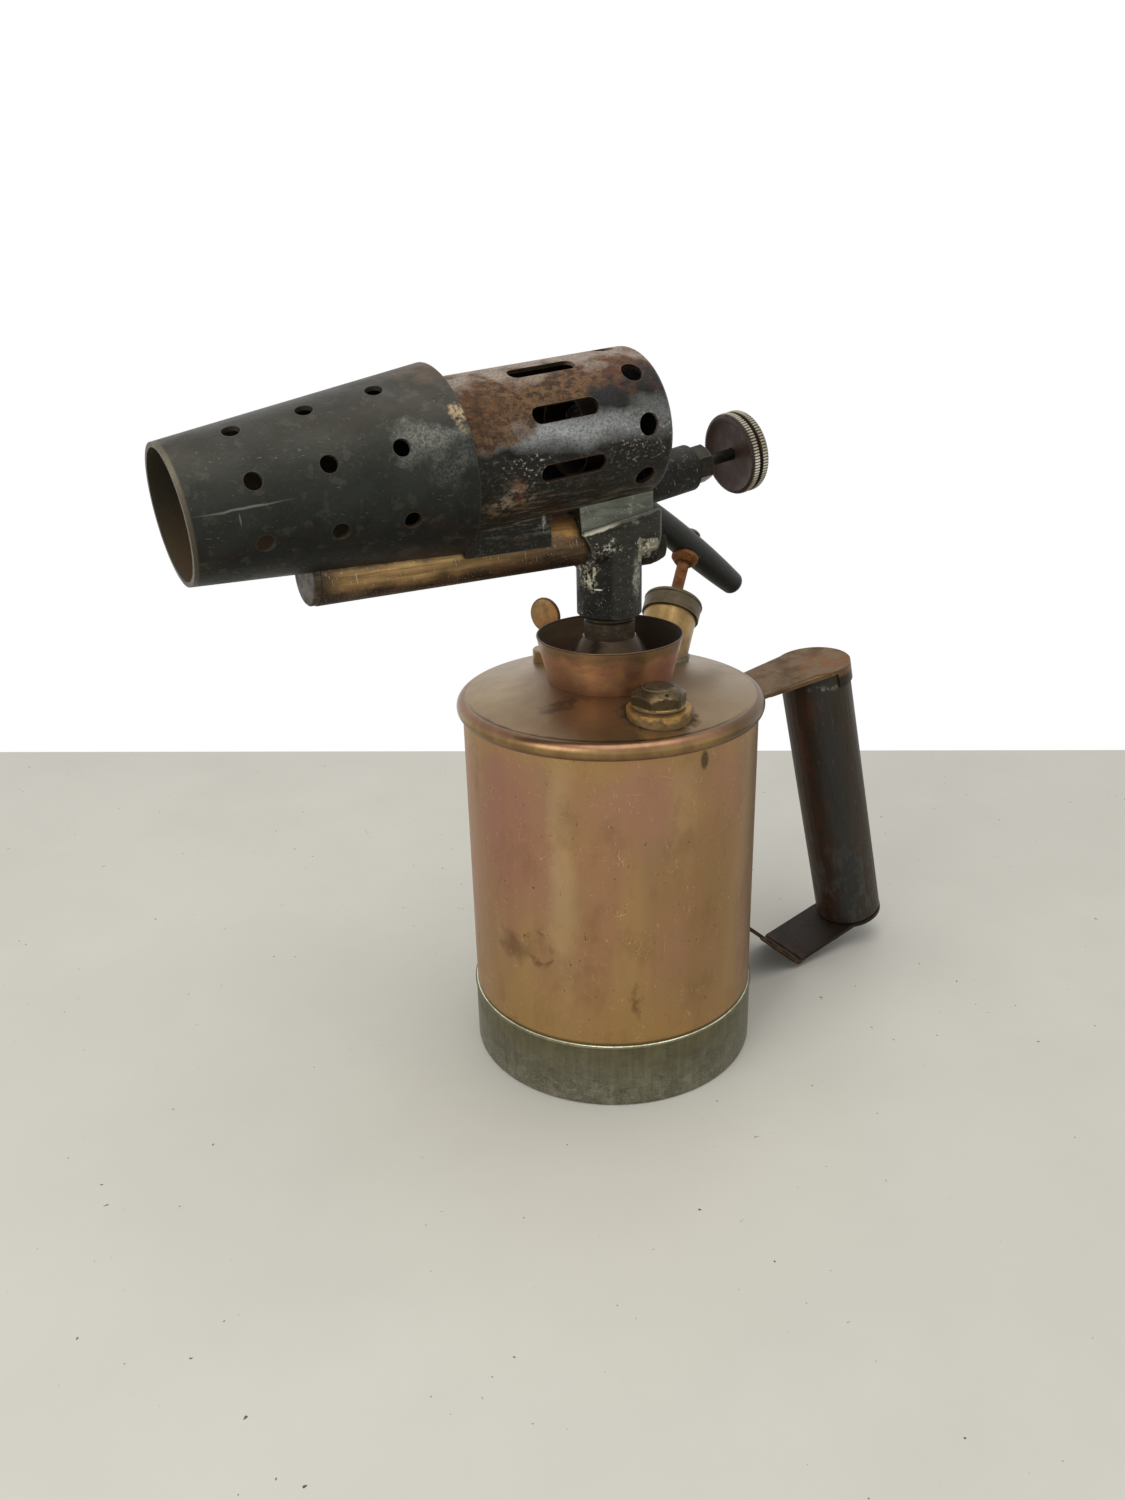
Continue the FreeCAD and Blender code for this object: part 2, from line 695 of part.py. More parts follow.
def make_flame_tube():
    """Closed-back tube with air slots and rear holes; its keel slot is edged by two lips beside the vaporiser."""
    radius = flame_radius
    wall = flame_wall
    back = flame_back
    corner = flame_corner
    bulge = corner * bulge_share
    inside = wall + (corner - wall) * bulge_share
    shell = turned([(0, back), (radius - corner, back), (radius - bulge, back + bulge, radius, back + corner),
                    (radius, flame_front), (radius - wall, flame_front), (radius - wall, back + corner),
                    (radius - inside, back + inside, radius - corner, back + wall), (0, back + wall)])
    cutters = []
    for angle in flame_slot_angles:
        slot = slot_cutter(flame_slot_start, flame_slot_length, flame_slot_width)
        cutters += [turned_about_z(slot, angle), turned_about_z(slot, -angle)]
    for step in range(-flame_hole_pairs, flame_hole_pairs + 1):
        cutters.append(turned_about_z(hole_cutter(flame_hole_radius, flame_hole_along), step * flame_hole_pitch))
    keel_top = math.sqrt((radius - wall) ** 2 - flame_keel_half ** 2) - clear_gap
    cutters.append(block(keel_top, radius + 1, -flame_keel_half, flame_keel_half, back - 1, flame_front + 1))
    tube_shape = placed(shell.cut(cutters), BURNER)
    tube_shape = tube_shape.cut(placed(rod(valve_boss_radius + clear_gap, 0, far / 4), VALVE))
    hollow = placed(rod(radius - wall / 2, flame_back, far), BURNER)
    ahead = placed(rod(far, nozzle_back - clear_gap, far), BURNER)
    lip_inside = vaporiser_radius + clear_gap
    lip = block(lip_start, far / 4, lip_inside, lip_inside + lip_wall, vaporiser_height + lip_foot,
                vaporiser_height + lip_top)
    lip = lip.cut([hollow, ahead])
    return tube_shape.fuse([lip, lip.mirror(Vector(0, 0, 0), ABOUT_Y)]).removeSplitter()


def make_nozzle():
    """Tapered burner nozzle: rear flange turned in to a collar on the flame tube, three rings of holes."""
    back = nozzle_back
    front = nozzle_front
    wall = nozzle_wall
    taper = (nozzle_back_radius - nozzle_front_radius) / (front - back)
    collar = flame_radius + seat_gap
    collar_out = collar + nozzle_collar_wall
    shell = turned([(collar, back), (nozzle_back_radius - nozzle_edge, back), (nozzle_back_radius, back + nozzle_edge),
                    (nozzle_front_radius, front), (nozzle_front_radius - wall, front),
                    (nozzle_back_radius - wall - taper * wall, back + wall), (collar_out, back + wall),
                    (collar_out, back + nozzle_collar_length), (collar, back + nozzle_collar_length)])
    cutters = []
    for ring in range(nozzle_hole_rings):
        along = nozzle_hole_first + ring * nozzle_hole_pitch
        for step in range(nozzle_hole_pairs):
            angle = (step + 0.5) * nozzle_hole_turn
            hole = hole_cutter(nozzle_hole_radius, along)
            cutters += [turned_about_z(hole, angle), turned_about_z(hole, -angle)]
    half = vaporiser_radius + clear_gap
    notch = block(0, vaporiser_front + clear_gap, -half, half, vaporiser_height - 2 * vaporiser_radius,
                  vaporiser_height + vaporiser_radius + clear_gap)
    return placed(shell.cut(cutters), BURNER).cut(notch)


def make_vaporiser():
    """Thick horizontal tube below the flame, brazed into the casting; its front end is plugged."""
    back = body_front - vaporiser_seat_depth + seat_gap
    end = vaporiser_front - vaporiser_plug_thickness
    return placed(tube(vaporiser_radius, vaporiser_bore_radius, back, end), VAPORISER)


def make_vaporiser_plug():
    end = vaporiser_front - vaporiser_plug_thickness
    outer = vaporiser_radius - vaporiser_plug_step
    spigot = vaporiser_bore_radius - seat_gap
    return placed(turned([(0, end - vaporiser_plug_spigot), (spigot, end - vaporiser_plug_spigot), (spigot, end),
                          (outer, end), (outer, vaporiser_front - edge_round), (outer - edge_round, vaporiser_front),
                          (0, vaporiser_front)]), VAPORISER)


def make_vaporiser_wick():
    """Roll of wire gauze that fills the vaporiser's bore."""
    start = body_front - vaporiser_seat_depth + wick_end_gap
    end = vaporiser_front - vaporiser_plug_thickness - vaporiser_plug_spigot - wick_gap
    return placed(rod(vaporiser_bore_radius - wick_gap, start, end), VAPORISER)


# ---------------------------------------------------------------- control valve

def make_gland_packing():
    return placed(tube(valve_bore_radius - seat_gap, spindle_radius + running_gap, packing_start, packing_end), VALVE)


def make_gland_nut():
    """Hexagon gland nut; its spigot presses on the packing inside the valve boss."""
    face = valve_boss_start - seat_gap
    nut = placed(hexagon(gland_hex, -face, -gland_start, hexagon_chamfer), TURNED_OVER)
    spigot = rod(valve_bore_radius - thread_gap, face - 1, valve_boss_start + gland_spigot)
    bore = rod(spindle_radius + running_gap, gland_start - 1, packing_end)
    return placed(nut.fuse(spigot).cut(bore), VALVE)


def make_spindle():
    """Valve spindle: riveted head outside the wheel, plain shank, conical point in the seat."""
    head = -wheel_width / 2 + wheel_back_dish - seat_gap
    shoulder = valve_seat - spindle_seat_clearance - spindle_cone_length
    cone_end = shoulder + spindle_cone_length
    tip = cone_end + spindle_tip_length
    return placed(turned([(0, head - spindle_head_length), (spindle_head_radius - 0.9, head - spindle_head_length),
                          (spindle_head_radius, head - edge_round), (spindle_head_radius, head), (spindle_radius, head),
                          (spindle_radius, shoulder), (spindle_tip_radius, cone_end), (spindle_tip_radius, tip),
                          (0, tip)]), VALVE)


def make_handwheel():
    """Dished disc whose rounded edge is parted by a groove into two narrow rims."""
    half = wheel_width / 2
    radius = wheel_radius
    groove = wheel_groove_width / 2
    floor = radius - wheel_groove_depth
    hole = spindle_radius + running_gap
    front = half - wheel_dish
    back = wheel_back_dish - half
    corner = wheel_edge_round
    bulge = corner * bulge_share
    wheel = turned([(hole, back), (wheel_hub_radius, back), (radius - corner, -half),
                    (radius - bulge, bulge - half, radius, corner - half), (radius, -groove), (floor, -groove),
                    (floor, groove), (radius, groove), (radius, half - corner),
                    (radius - bulge, half - bulge, radius - corner, half), (wheel_hub_radius, front), (hole, front)])
    return placed(wheel, VALVE)


# ---------------------------------------------------------------- pump

def make_pump_barrel():
    return placed(tube(barrel_radius, barrel_inner, barrel_foot, barrel_top), PUMP)


def make_barrel_ferrule():
    """Solder collar round the barrel where it enters the dome, trimmed to pass the priming cup."""
    inner = barrel_radius + seat_gap
    collar = placed(tube(inner + ferrule_wall, inner, -far / 8, far / 8), PUMP)
    cup = rod(cup_foot_radius + ferrule_cup_gap, 0, cup_rim_height)
    return collar.common(below_dome(ferrule_height)).cut([below_dome(seat_gap), cup])


def make_pump_cap():
    """Screwed cap with a fine bead; it guides the rod and has two small air holes."""
    inner = barrel_radius + thread_gap
    outer = inner + cap_wall
    top = cap_edge + cap_skirt
    bead = top - cap_bead_drop
    half_bead = cap_bead_width / 2
    cap = turned([(inner, cap_edge), (outer, cap_edge), (outer, bead - half_bead),
                  (outer + cap_bead, bead, outer, bead + half_bead), (outer, top - edge_round), (outer - edge_round, top),
                  (rod_radius + running_gap, top), (rod_radius + running_gap, barrel_top + seat_gap),
                  (inner, barrel_top + seat_gap)])
    for side in (1, -1):
        vent = rod(cap_vent_radius, cap_edge, top + 1)
        vent.translate(Vector(side * (rod_radius + barrel_inner) / 2, 0, 0))
        cap = cap.cut(vent)
    return placed(cap, PUMP)


def make_piston_leather():
    """Cup leather, open towards the barrel's foot."""
    outer = barrel_inner - running_gap
    low = leather_top - piston_skirt
    return placed(turned([(rod_tail_radius + running_gap, piston_face), (outer - piston_wall, piston_face),
                          (outer - piston_wall, low), (outer, low), (outer, leather_top - edge_round),
                          (outer - edge_round, leather_top), (rod_tail_radius + running_gap, leather_top)]), PUMP)


def make_piston_washers():
    hole = rod_tail_radius + seat_gap
    lower = tube(piston_washer_radius, hole, piston_face - piston_washer_thickness, piston_face - seat_gap)
    upper = tube(piston_washer_radius, hole, leather_top + seat_gap, rod_shoulder - seat_gap)
    return placed(Part.makeCompound([lower, upper]), PUMP)


def make_piston_nut():
    nut = hexagon(piston_nut_hex, piston_foot, piston_foot + piston_nut_length - seat_gap)
    return placed(nut.cut(rod(rod_tail_radius + seat_gap, piston_foot - 1, leather_top)), PUMP)


def make_pump_rod():
    """Rod with a thin tail for the piston; its top ends under the handle's rivet."""
    top = pump_handle_along + pump_handle_mid_radius - handle_flat_depth
    return placed(turned([(0, piston_foot), (rod_tail_radius, piston_foot), (rod_tail_radius, rod_shoulder),
                          (rod_radius, rod_shoulder), (rod_radius, top), (0, top)]), PUMP)


def make_pump_handle():
    """Turned T handle, fullest in the middle, bored for the rod."""
    half = pump_handle_length / 2
    end = pump_handle_end_radius
    middle = pump_handle_mid_radius
    curve = pump_handle_round
    bulge = curve * bulge_share
    bar = turned([(0, -half), (end - curve, -half), (end - bulge, bulge - half, end, curve - half),
                  (middle, 0, end, half - curve), (end - bulge, half - bulge, end - curve, half), (0, half)])
    bar = placed(bar, Placement(Vector(0, 0, 0), Rotation(ABOUT_Y, 90)))
    flat = middle - handle_flat_depth
    reach = 2 * middle
    bar = bar.cut([rod(rod_radius + seat_gap, -reach, reach), rod(handle_collar_radius + clear_gap, -reach, -flat),
                   rod(handle_rivet_radius + clear_gap, flat, reach)])
    turn = Placement(Vector(0, 0, pump_handle_along), Rotation(ABOUT_Z, pump_handle_turn))
    return placed(placed(bar, turn), PUMP)


def make_handle_collar():
    seat = pump_handle_along - pump_handle_mid_radius + handle_flat_depth - seat_gap
    foot = seat - handle_collar_length
    hole = rod_radius + seat_gap
    collar = turned([(hole, foot), (handle_collar_foot, foot), (handle_collar_radius, seat - handle_collar_rim),
                     (handle_collar_radius, seat), (hole, seat)])
    return placed(collar, PUMP)


def make_handle_rivet():
    seat = pump_handle_along + pump_handle_mid_radius - handle_flat_depth + seat_gap
    rim = seat + handle_rivet_thickness
    radius = handle_rivet_radius
    top = rim + handle_rivet_height
    return placed(turned([(0, seat), (radius, seat), (radius, rim),
                          (handle_rivet_shoulder, rim + handle_rivet_height * crown_share, handle_rivet_flat, top),
                          (0, top)]), PUMP)


# ---------------------------------------------------------------- non-return valve

def make_check_valve_plug():
    """Brass plug in the barrel's foot, with a spigot for the cage and a raised seat round the air hole."""
    top = barrel_foot + check_plug_length
    spigot = cage_radius - cage_wall - seat_gap
    spigot_end = barrel_foot - check_spigot_length
    stub_end = spigot_end - check_stub_length
    return placed(turned([(check_air_radius, top), (barrel_inner - seat_gap, top),
                          (barrel_inner - seat_gap, barrel_foot), (spigot, barrel_foot), (spigot, spigot_end),
                          (check_stub_radius, spigot_end), (check_stub_radius, stub_end),
                          (check_air_radius, stub_end)]), PUMP)


def make_check_valve_cage():
    top = barrel_foot - seat_gap
    low = barrel_foot - cage_length
    inner = cage_radius - cage_wall
    return placed(turned([(cage_outlet_radius, low), (cage_radius, low), (cage_radius, top), (inner, top),
                          (inner, low + cage_floor), (cage_outlet_radius, low + cage_floor)]), PUMP)


def make_check_valve_pellet():
    top = barrel_foot - check_spigot_length - check_stub_length - seat_gap
    return placed(rod(pellet_radius, top - pellet_thickness, top), PUMP)


def make_check_valve_spring():
    """Light coil spring between the cage's floor and the pellet."""
    wire = check_spring_wire
    low = barrel_foot - cage_length + cage_floor + wire + seat_gap
    high = barrel_foot - check_spigot_length - check_stub_length - pellet_thickness - 2 * seat_gap - wire
    coil = Part.makeHelix((high - low) / check_spring_turns, high - low, check_spring_radius)
    section = Part.Wire(Part.makeCircle(wire, Vector(check_spring_radius, 0, 0), ABOUT_Y))
    spring = Part.Wire(coil).makePipeShell([section], True, True)
    spring.translate(Vector(0, 0, low))
    return placed(spring, PUMP)


# ---------------------------------------------------------------- filler and air-release screw

def make_filler_boss():
    top = filler_top()
    flange = placed(tube(filler_boss_radius, filler_thread_radius, top - 3 * filler_boss_height, top), FILLER)
    neck = placed(tube(filler_neck_radius, filler_thread_radius, top - filler_boss_height - filler_boss_depth, top),
                  FILLER)
    return flange.cut(below_dome(seat_gap)).fuse(neck).removeSplitter()


def filler_top():
    """Height of the filler boss's top face."""
    return dome_z(math.hypot(filler_x, filler_y)) + filler_boss_height


def make_filler_gasket():
    low = filler_top() + seat_gap
    return placed(tube(filler_gasket_radius, filler_thread_radius, low, low + filler_gasket_thickness), FILLER)


def make_filler_plug():
    """Screw plug: hexagon with a turned crown on a round flange, with a fine vent hole beside the crown's disc."""
    seat = filler_top() + filler_gasket_thickness + 2 * seat_gap
    flange = seat + filler_flange_thickness
    shoulder = flange + filler_hex_height
    step = shoulder + filler_crown_height
    top = step + filler_disc_step
    corner = filler_hex / math.sqrt(3)
    disc = filler_disc_radius
    crown = turned([(0, seat), (corner, seat), (corner, shoulder),
                    ((corner + disc) / 2, shoulder + crown_share * filler_crown_height, disc, step),
                    (disc - edge_round, top), (filler_dish_radius, top), (0, top - filler_dish_depth)])
    head = hexagon(filler_hex, flange - edge_round, far).common(crown)
    ring = rod(filler_flange_radius, seat, flange)
    shank = rod(filler_thread_radius - thread_gap, seat - filler_thread_length, flange)
    vent = rod(filler_vent_radius, shoulder - filler_vent_depth, top)
    vent.translate(Vector(filler_vent_out, 0, 0))
    vent = turned_about_z(vent, filler_vent_bearing)
    return placed(ring.fuse([turned_about_z(head, filler_hex_turn), shank]).cut(vent), FILLER)


def air_boss_top():
    """Height of the air screw boss's top face."""
    return dome_z(math.hypot(air_x, air_y)) + air_boss_height


def make_air_screw_boss():
    """Small turned boss with a seat at its foot."""
    top = air_boss_top()
    dome = top - air_boss_height
    low = dome - air_boss_depth
    outside = turned([(0, dome - air_boss_depth), (air_boss_radius, dome - air_boss_depth),
                      (air_boss_radius, top - edge_round), (air_boss_radius - edge_round, top), (0, top)])
    outside = placed(outside, AIR_SCREW).cut(below_dome(seat_gap))
    boss = outside.fuse(placed(rod(air_boss_spigot_radius, low, top - 1), AIR_SCREW))
    bore = rod(air_stem_radius, low + air_seat_floor, top + 1)
    vent = rod(air_hole_radius, low - 1, top)
    return boss.cut([placed(bore, AIR_SCREW), placed(vent, AIR_SCREW)]).removeSplitter()


def make_air_screw_stem():
    """Threaded stem with a conical foot; its top is bored for the head's pin."""
    top = air_boss_top() + air_stem_rise
    radius = air_stem_radius - thread_gap
    seat = air_boss_top() - air_boss_height - air_boss_depth + air_seat_floor + seat_gap
    stem = turned([(0, seat), (radius - air_cone_height, seat), (radius, seat + air_cone_height), (radius, top), (0, top)])
    return placed(stem.cut(rod(air_pin_radius, top - air_pin_length, top + 1)), AIR_SCREW)


def make_air_screw_head():
    """Upright coin on a short neck, with a pin in the stem."""
    low = air_boss_top() + air_stem_rise + seat_gap
    centre = air_boss_top() + air_coin_height
    coin = Part.makeCylinder(air_coin_radius, air_coin_thickness, Vector(-air_coin_thickness / 2, 0, centre),
                             Vector(1, 0, 0))
    neck_top = low + air_neck_rise
    neck = turned([(0, low), (air_stem_radius, low), (air_stem_radius, neck_top - 1), (air_stem_radius - 1, neck_top + 1),
                   (0, neck_top + 1)])
    pin = rod(air_pin_radius - running_gap, low - air_pin_length + clear_gap, low + 1)
    return placed(turned_about_z(coin.fuse([neck, pin]).removeSplitter(), air_coin_turn), AIR_SCREW)


# ---------------------------------------------------------------- carrying handle

def strap_top_z(x):
    """Height of the top strap's upper face."""
    return strap_root_height - (x + tank_radius) * math.tan(math.radians(strap_climb))


def under_strap(drop):
    """Everything below a plane that lies a given depth under the top strap's upper face."""
    high = strap_top_z(-far) - drop
    low = strap_top_z(0) - drop
    return plate([(-far, -far), (0, -far), (0, low), (-far, high)], -far / 4, far / 4)


def make_top_strap():
    """Flat strap from the tank to the grip; its round end is lipped over the back of the grip."""
    cap = grip_radius + seat_gap + strap_cap_wall
    slab = under_strap(0).cut(under_strap(strap_thickness))
    reach = strap_top_z(grip_bottom_x)
    grip_end = placed(rod(cap, 0, far / 2), GRIP)
    axis_x = grip_bottom_x + (reach - grip_bottom_height) * math.tan(math.radians(grip_lean))
    run = block(axis_x, -tank_radius / 2, -half_strap, half_strap, 0, far)
    shell = rod(tank_radius + seat_gap, 0, far)
    leaf = slab.common(run.fuse(grip_end)).cut(shell)
    skirt = placed(tube(cap, grip_radius + seat_gap, 0, far / 2), GRIP).common(under_strap(0))
    skirt = skirt.cut(under_strap(strap_thickness + strap_lip_depth))
    behind = placed(block(-far, 0, -far, far, -far, far), GRIP)
    nut = placed(rod(strap_nut_radius, 0, far / 2), GRIP).common(under_strap(strap_thickness / 2))
    nut = nut.cut(under_strap(strap_thickness + strap_nut_depth))
    root = strap_top_z(-tank_radius)
    strap = leaf.fuse([skirt.common(behind), nut, shell_tab(root - strap_tab_height, root)])
    bolt_hole = placed(rod(grip_bolt_radius + thread_gap, 0, grip_length() + grip_bolt_engagement), GRIP)
    return strap.cut(bolt_hole).removeSplitter()


def shell_tab(low, high):
    """Curved tab of strap sheet against the tank's shell, on the handle side."""
    inner = tank_radius + seat_gap
    ring = tube(inner + strap_thickness, inner, low, high)
    return ring.common(block(-far, 0, -half_strap, half_strap, low, high))


def grip_length():
    """From the grip's foot to the counterbored seat of the strap's nut, along its axis."""
    lean = math.radians(grip_lean)
    climb = math.radians(strap_climb)
    level = strap_top_z(grip_bottom_x) - strap_thickness - strap_nut_depth - grip_bottom_height
    return level / (math.cos(lean) + math.sin(lean) * math.tan(climb))


def make_grip():
    """Round grip, bored for its bolt and cut to the slope of the top strap."""
    top_bore = grip_length() - clear_gap
    bar = turned([(grip_bore_radius, 0), (grip_radius - grip_edge, 0), (grip_radius, grip_edge), (grip_radius, far / 2),
                  (strap_nut_radius + clear_gap, far / 2), (strap_nut_radius + clear_gap, top_bore - 1),
                  (grip_bore_radius, top_bore - 1)])
    return placed(bar, GRIP).common(under_strap(strap_thickness + seat_gap))


def make_bottom_strap():
    """Strap under the grip, folded up to the tank."""
    lean = math.radians(grip_lean)
    rise = math.radians(foot_rise)
    fold_along = (foot_fold_x - grip_bottom_x) / math.cos(lean)
    fold_z = grip_bottom_height - fold_along * math.sin(lean)
    top_z = fold_z + (-tank_radius / 2 - foot_fold_x) * math.tan(rise)
    end = grip_radius + foot_cap_wall
    middle = [(grip_bottom_x - 2 * end * math.cos(lean), grip_bottom_height + 2 * end * math.sin(lean)),
              (foot_fold_x, fold_z), (-tank_radius / 2, top_z)]
    strip = folded_strip(middle, foot_bend_radius, strap_thickness, end)
    strip = placed(strip, Placement(Vector(0, 0, -strap_thickness / 2 - seat_gap), Rotation()))
    disc = placed(rod(end, -far / 8, far / 8), GRIP)
    run = block(grip_bottom_x, -tank_radius / 2, -half_strap, half_strap, -10, far / 4)
    leaf = strip.common(run.fuse(disc)).cut(rod(tank_radius + seat_gap, 0, far))
    root = fold_z + (-tank_radius - foot_fold_x) * math.tan(rise) - strap_thickness
    strap = leaf.fuse(shell_tab(root, root + strap_tab_height))
    hole = placed(rod(grip_bolt_radius + clear_gap, -far / 8, far / 8), GRIP)
    return strap.cut(hole).removeSplitter()


def folded_strip(points, bend, thickness, half_width):
    """Sheet strip folded once: three points of its middle line in XZ, and the middle radius of the fold."""
    first, fold, last = [Vector(x, 0, z) for x, z in points]
    ahead = (fold - first).normalize()
    away = (last - fold).normalize()
    turn = ahead.getAngle(away)
    setback = bend * math.tan(turn / 2)
    up_first = ahead.cross(ABOUT_Y) * -1
    up_last = away.cross(ABOUT_Y) * -1
    up_fold = (up_first + up_last).normalize()
    start = fold - ahead * setback
    end = fold + away * setback
    middle = fold + up_fold * (bend / math.cos(turn / 2) - bend)
    outline = []
    for side, ordered in ((thickness / 2, 1), (-thickness / 2, -1)):
        row = [first + up_first * side, start + up_first * side, middle + up_fold * side, end + up_last * side,
               last + up_last * side][::ordered]
        outline += [(row[0].x, row[0].z), (row[1].x, row[1].z), (row[2].x, row[2].z, row[3].x, row[3].z),
                    (row[4].x, row[4].z)]
    return plate(outline, -half_width, half_width)


def make_grip_bolt():
    """Bolt from under the lower strap, up through the grip, into the nut under the top strap."""
    head_top = -strap_thickness - 2 * seat_gap
    head_low = head_top - grip_bolt_head_length
    head = grip_bolt_head_radius
    return placed(turned([(0, head_low), (head - 0.8, head_low), (head, head_low + 0.8), (head, head_top),
                          (grip_bolt_radius, head_top), (grip_bolt_radius, grip_length() + grip_bolt_engagement - seat_gap),
                          (0, grip_length() + grip_bolt_engagement - seat_gap)]), GRIP)


pickup_tube, fuel_strainer = make_pickup_tube()
nodes = {
    "base_cup": make_base_cup(),
    "tank_shell": make_tank_shell(),
    "tank_floor": make_tank_floor(),
    "tank_dome": make_tank_dome(),
    "neck_bush": make_neck_bush(),
    "riser": make_riser(),
    "priming_cup": make_priming_cup(),
    "pickup_tube": pickup_tube,
    "fuel_strainer": fuel_strainer,
    "burner_body": make_burner_body(),
    "cleaning_plug": make_cleaning_plug(),
    "jet": make_jet(),
    "flame_tube": make_flame_tube(),
    "nozzle": make_nozzle(),
    "vaporiser": make_vaporiser(),
    "vaporiser_plug": make_vaporiser_plug(),
    "vaporiser_wick": make_vaporiser_wick(),
    "gland_packing": make_gland_packing(),
    "gland_nut": make_gland_nut(),
    "spindle": make_spindle(),
    "handwheel": make_handwheel(),
    "pump_barrel": make_pump_barrel(),
    "barrel_ferrule": make_barrel_ferrule(),
    "pump_cap": make_pump_cap(),
    "piston_leather": make_piston_leather(),
    "piston_washers": make_piston_washers(),
    "piston_nut": make_piston_nut(),
    "pump_rod": make_pump_rod(),
    "pump_handle": make_pump_handle(),
    "handle_collar": make_handle_collar(),
    "handle_rivet": make_handle_rivet(),
    "check_valve_plug": make_check_valve_plug(),
    "check_valve_cage": make_check_valve_cage(),
    "check_valve_pellet": make_check_valve_pellet(),
    "check_valve_spring": make_check_valve_spring(),
    "filler_boss": make_filler_boss(),
    "filler_gasket": make_filler_gasket(),
    "filler_plug": make_filler_plug(),
    "air_screw_boss": make_air_screw_boss(),
    "air_screw_stem": make_air_screw_stem(),
    "air_screw_head": make_air_screw_head(),
    "top_strap": make_top_strap(),
    "bottom_strap": make_bottom_strap(),
    "grip": make_grip(),
    "grip_bolt": make_grip_bolt(),
}

os.makedirs("parts", exist_ok=True)
for name, shape in nodes.items():
    shape.exportStep("parts/" + name + ".step")
    print(name, shape.isValid(), len(shape.Solids), round(shape.Volume, 1))
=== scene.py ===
import json
import math

import bmesh
import bpy
from mathutils import Matrix, Vector, noise


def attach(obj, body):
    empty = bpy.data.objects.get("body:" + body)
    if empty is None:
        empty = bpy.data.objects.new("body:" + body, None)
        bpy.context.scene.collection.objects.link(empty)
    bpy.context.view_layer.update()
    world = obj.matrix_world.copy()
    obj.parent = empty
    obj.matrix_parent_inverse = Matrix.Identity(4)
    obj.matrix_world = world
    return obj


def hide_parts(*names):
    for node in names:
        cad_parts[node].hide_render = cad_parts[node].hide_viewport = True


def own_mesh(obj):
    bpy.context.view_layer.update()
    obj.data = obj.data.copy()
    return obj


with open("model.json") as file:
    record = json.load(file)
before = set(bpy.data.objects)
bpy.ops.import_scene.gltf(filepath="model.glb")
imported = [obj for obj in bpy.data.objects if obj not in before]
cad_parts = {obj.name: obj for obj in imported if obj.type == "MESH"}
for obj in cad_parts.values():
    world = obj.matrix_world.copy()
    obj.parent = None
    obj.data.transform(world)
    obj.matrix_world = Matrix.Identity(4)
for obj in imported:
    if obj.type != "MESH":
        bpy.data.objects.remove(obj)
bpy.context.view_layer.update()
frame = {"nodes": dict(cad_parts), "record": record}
nodes = frame["nodes"]

# Old brass paraffin blowlamp. Metres, +Z up, +X the way the flame points, carrying handle at -X.
# Lengths passed to the finishes below are in millimetres.
LAMP_FOOT = (0, 0, 0)
UPRIGHT = (0, 0, 1)
BURNER_DIP = math.radians(5.2)
BURNER_FOOT = (0, 0, 262.45)           # where the burner's axis crosses the riser's
BURNER_ALONG = (math.cos(BURNER_DIP), 0, -math.sin(BURNER_DIP))
BURNER_UP = (math.sin(BURNER_DIP), 0, math.cos(BURNER_DIP))
VAPORISER_FOOT = (0, 0, 222.65)
PUMP_MOUTH = (-34.3, -15.5, 158.0)
PUMP_ALONG = (-0.564721, -0.425547, 0.707107)
WHEEL_HUB = (-61.3, 0, 247.45)
WHEEL_ALONG = (-0.987414, 0, 0.158158)
HANDLE_ALONG = (-0.8637, 0.504, -0.6)
STRAP_END = (-109, 0, 150.8)
GRIP_FOOT = (-142.6, 0, 15.3)
GRIP_LEAN = math.radians(13.9)
GRIP_ALONG = (math.sin(GRIP_LEAN), 0, math.cos(GRIP_LEAN))
FILLER_FOOT = (5, 41.3, 160)
COIN_MIDDLE = (5.5, -41.5, 181.5)
COIN_FACING = (math.cos(math.radians(24)), math.sin(math.radians(24)), 0)
TANK_RADIUS = 60.0
BASE_TOP = 28.3


def colour(code):
    """sRGB hex to the linear colour that a shader takes."""
    parts = [int(code[i:i + 2], 16) / 255 for i in (1, 3, 5)]
    linear = [c / 12.92 if c <= 0.04045 else ((c + 0.055) / 1.055) ** 2.4 for c in parts]
    return (*linear, 1.0)


def metres(point):
    """Millimetres to metres."""
    return Vector(point) / 1000


def on_burner(along, side, up):
    """A point in millimetres, measured along, beside and above the burner's axis."""
    return Vector(BURNER_FOOT) + Vector(BURNER_ALONG) * along + Vector((0, side, 0)) + Vector(BURNER_UP) * up


def add(where, kind, inputs=None, **settings):
    """Adds a shader node with its settings to a tree, or to the tree that a socket is in. Its inputs are
    values, or sockets to link from."""
    tree = where.id_data
    node = tree.nodes.new("ShaderNode" + kind)
    for name, value in settings.items():
        setattr(node, name, value)
    for name, value in (inputs or {}).items():
        if isinstance(value, bpy.types.NodeSocket):
            tree.links.new(value, node.inputs[name])
        else:
            node.inputs[name].default_value = value
    return node


def put(name, data):
    """Puts a new object in the scene: a camera, a light or a mesh."""
    thing = bpy.data.objects.new(name, data)
    bpy.context.scene.collection.objects.link(thing)
    return thing


# ---------------- camera, bench and light

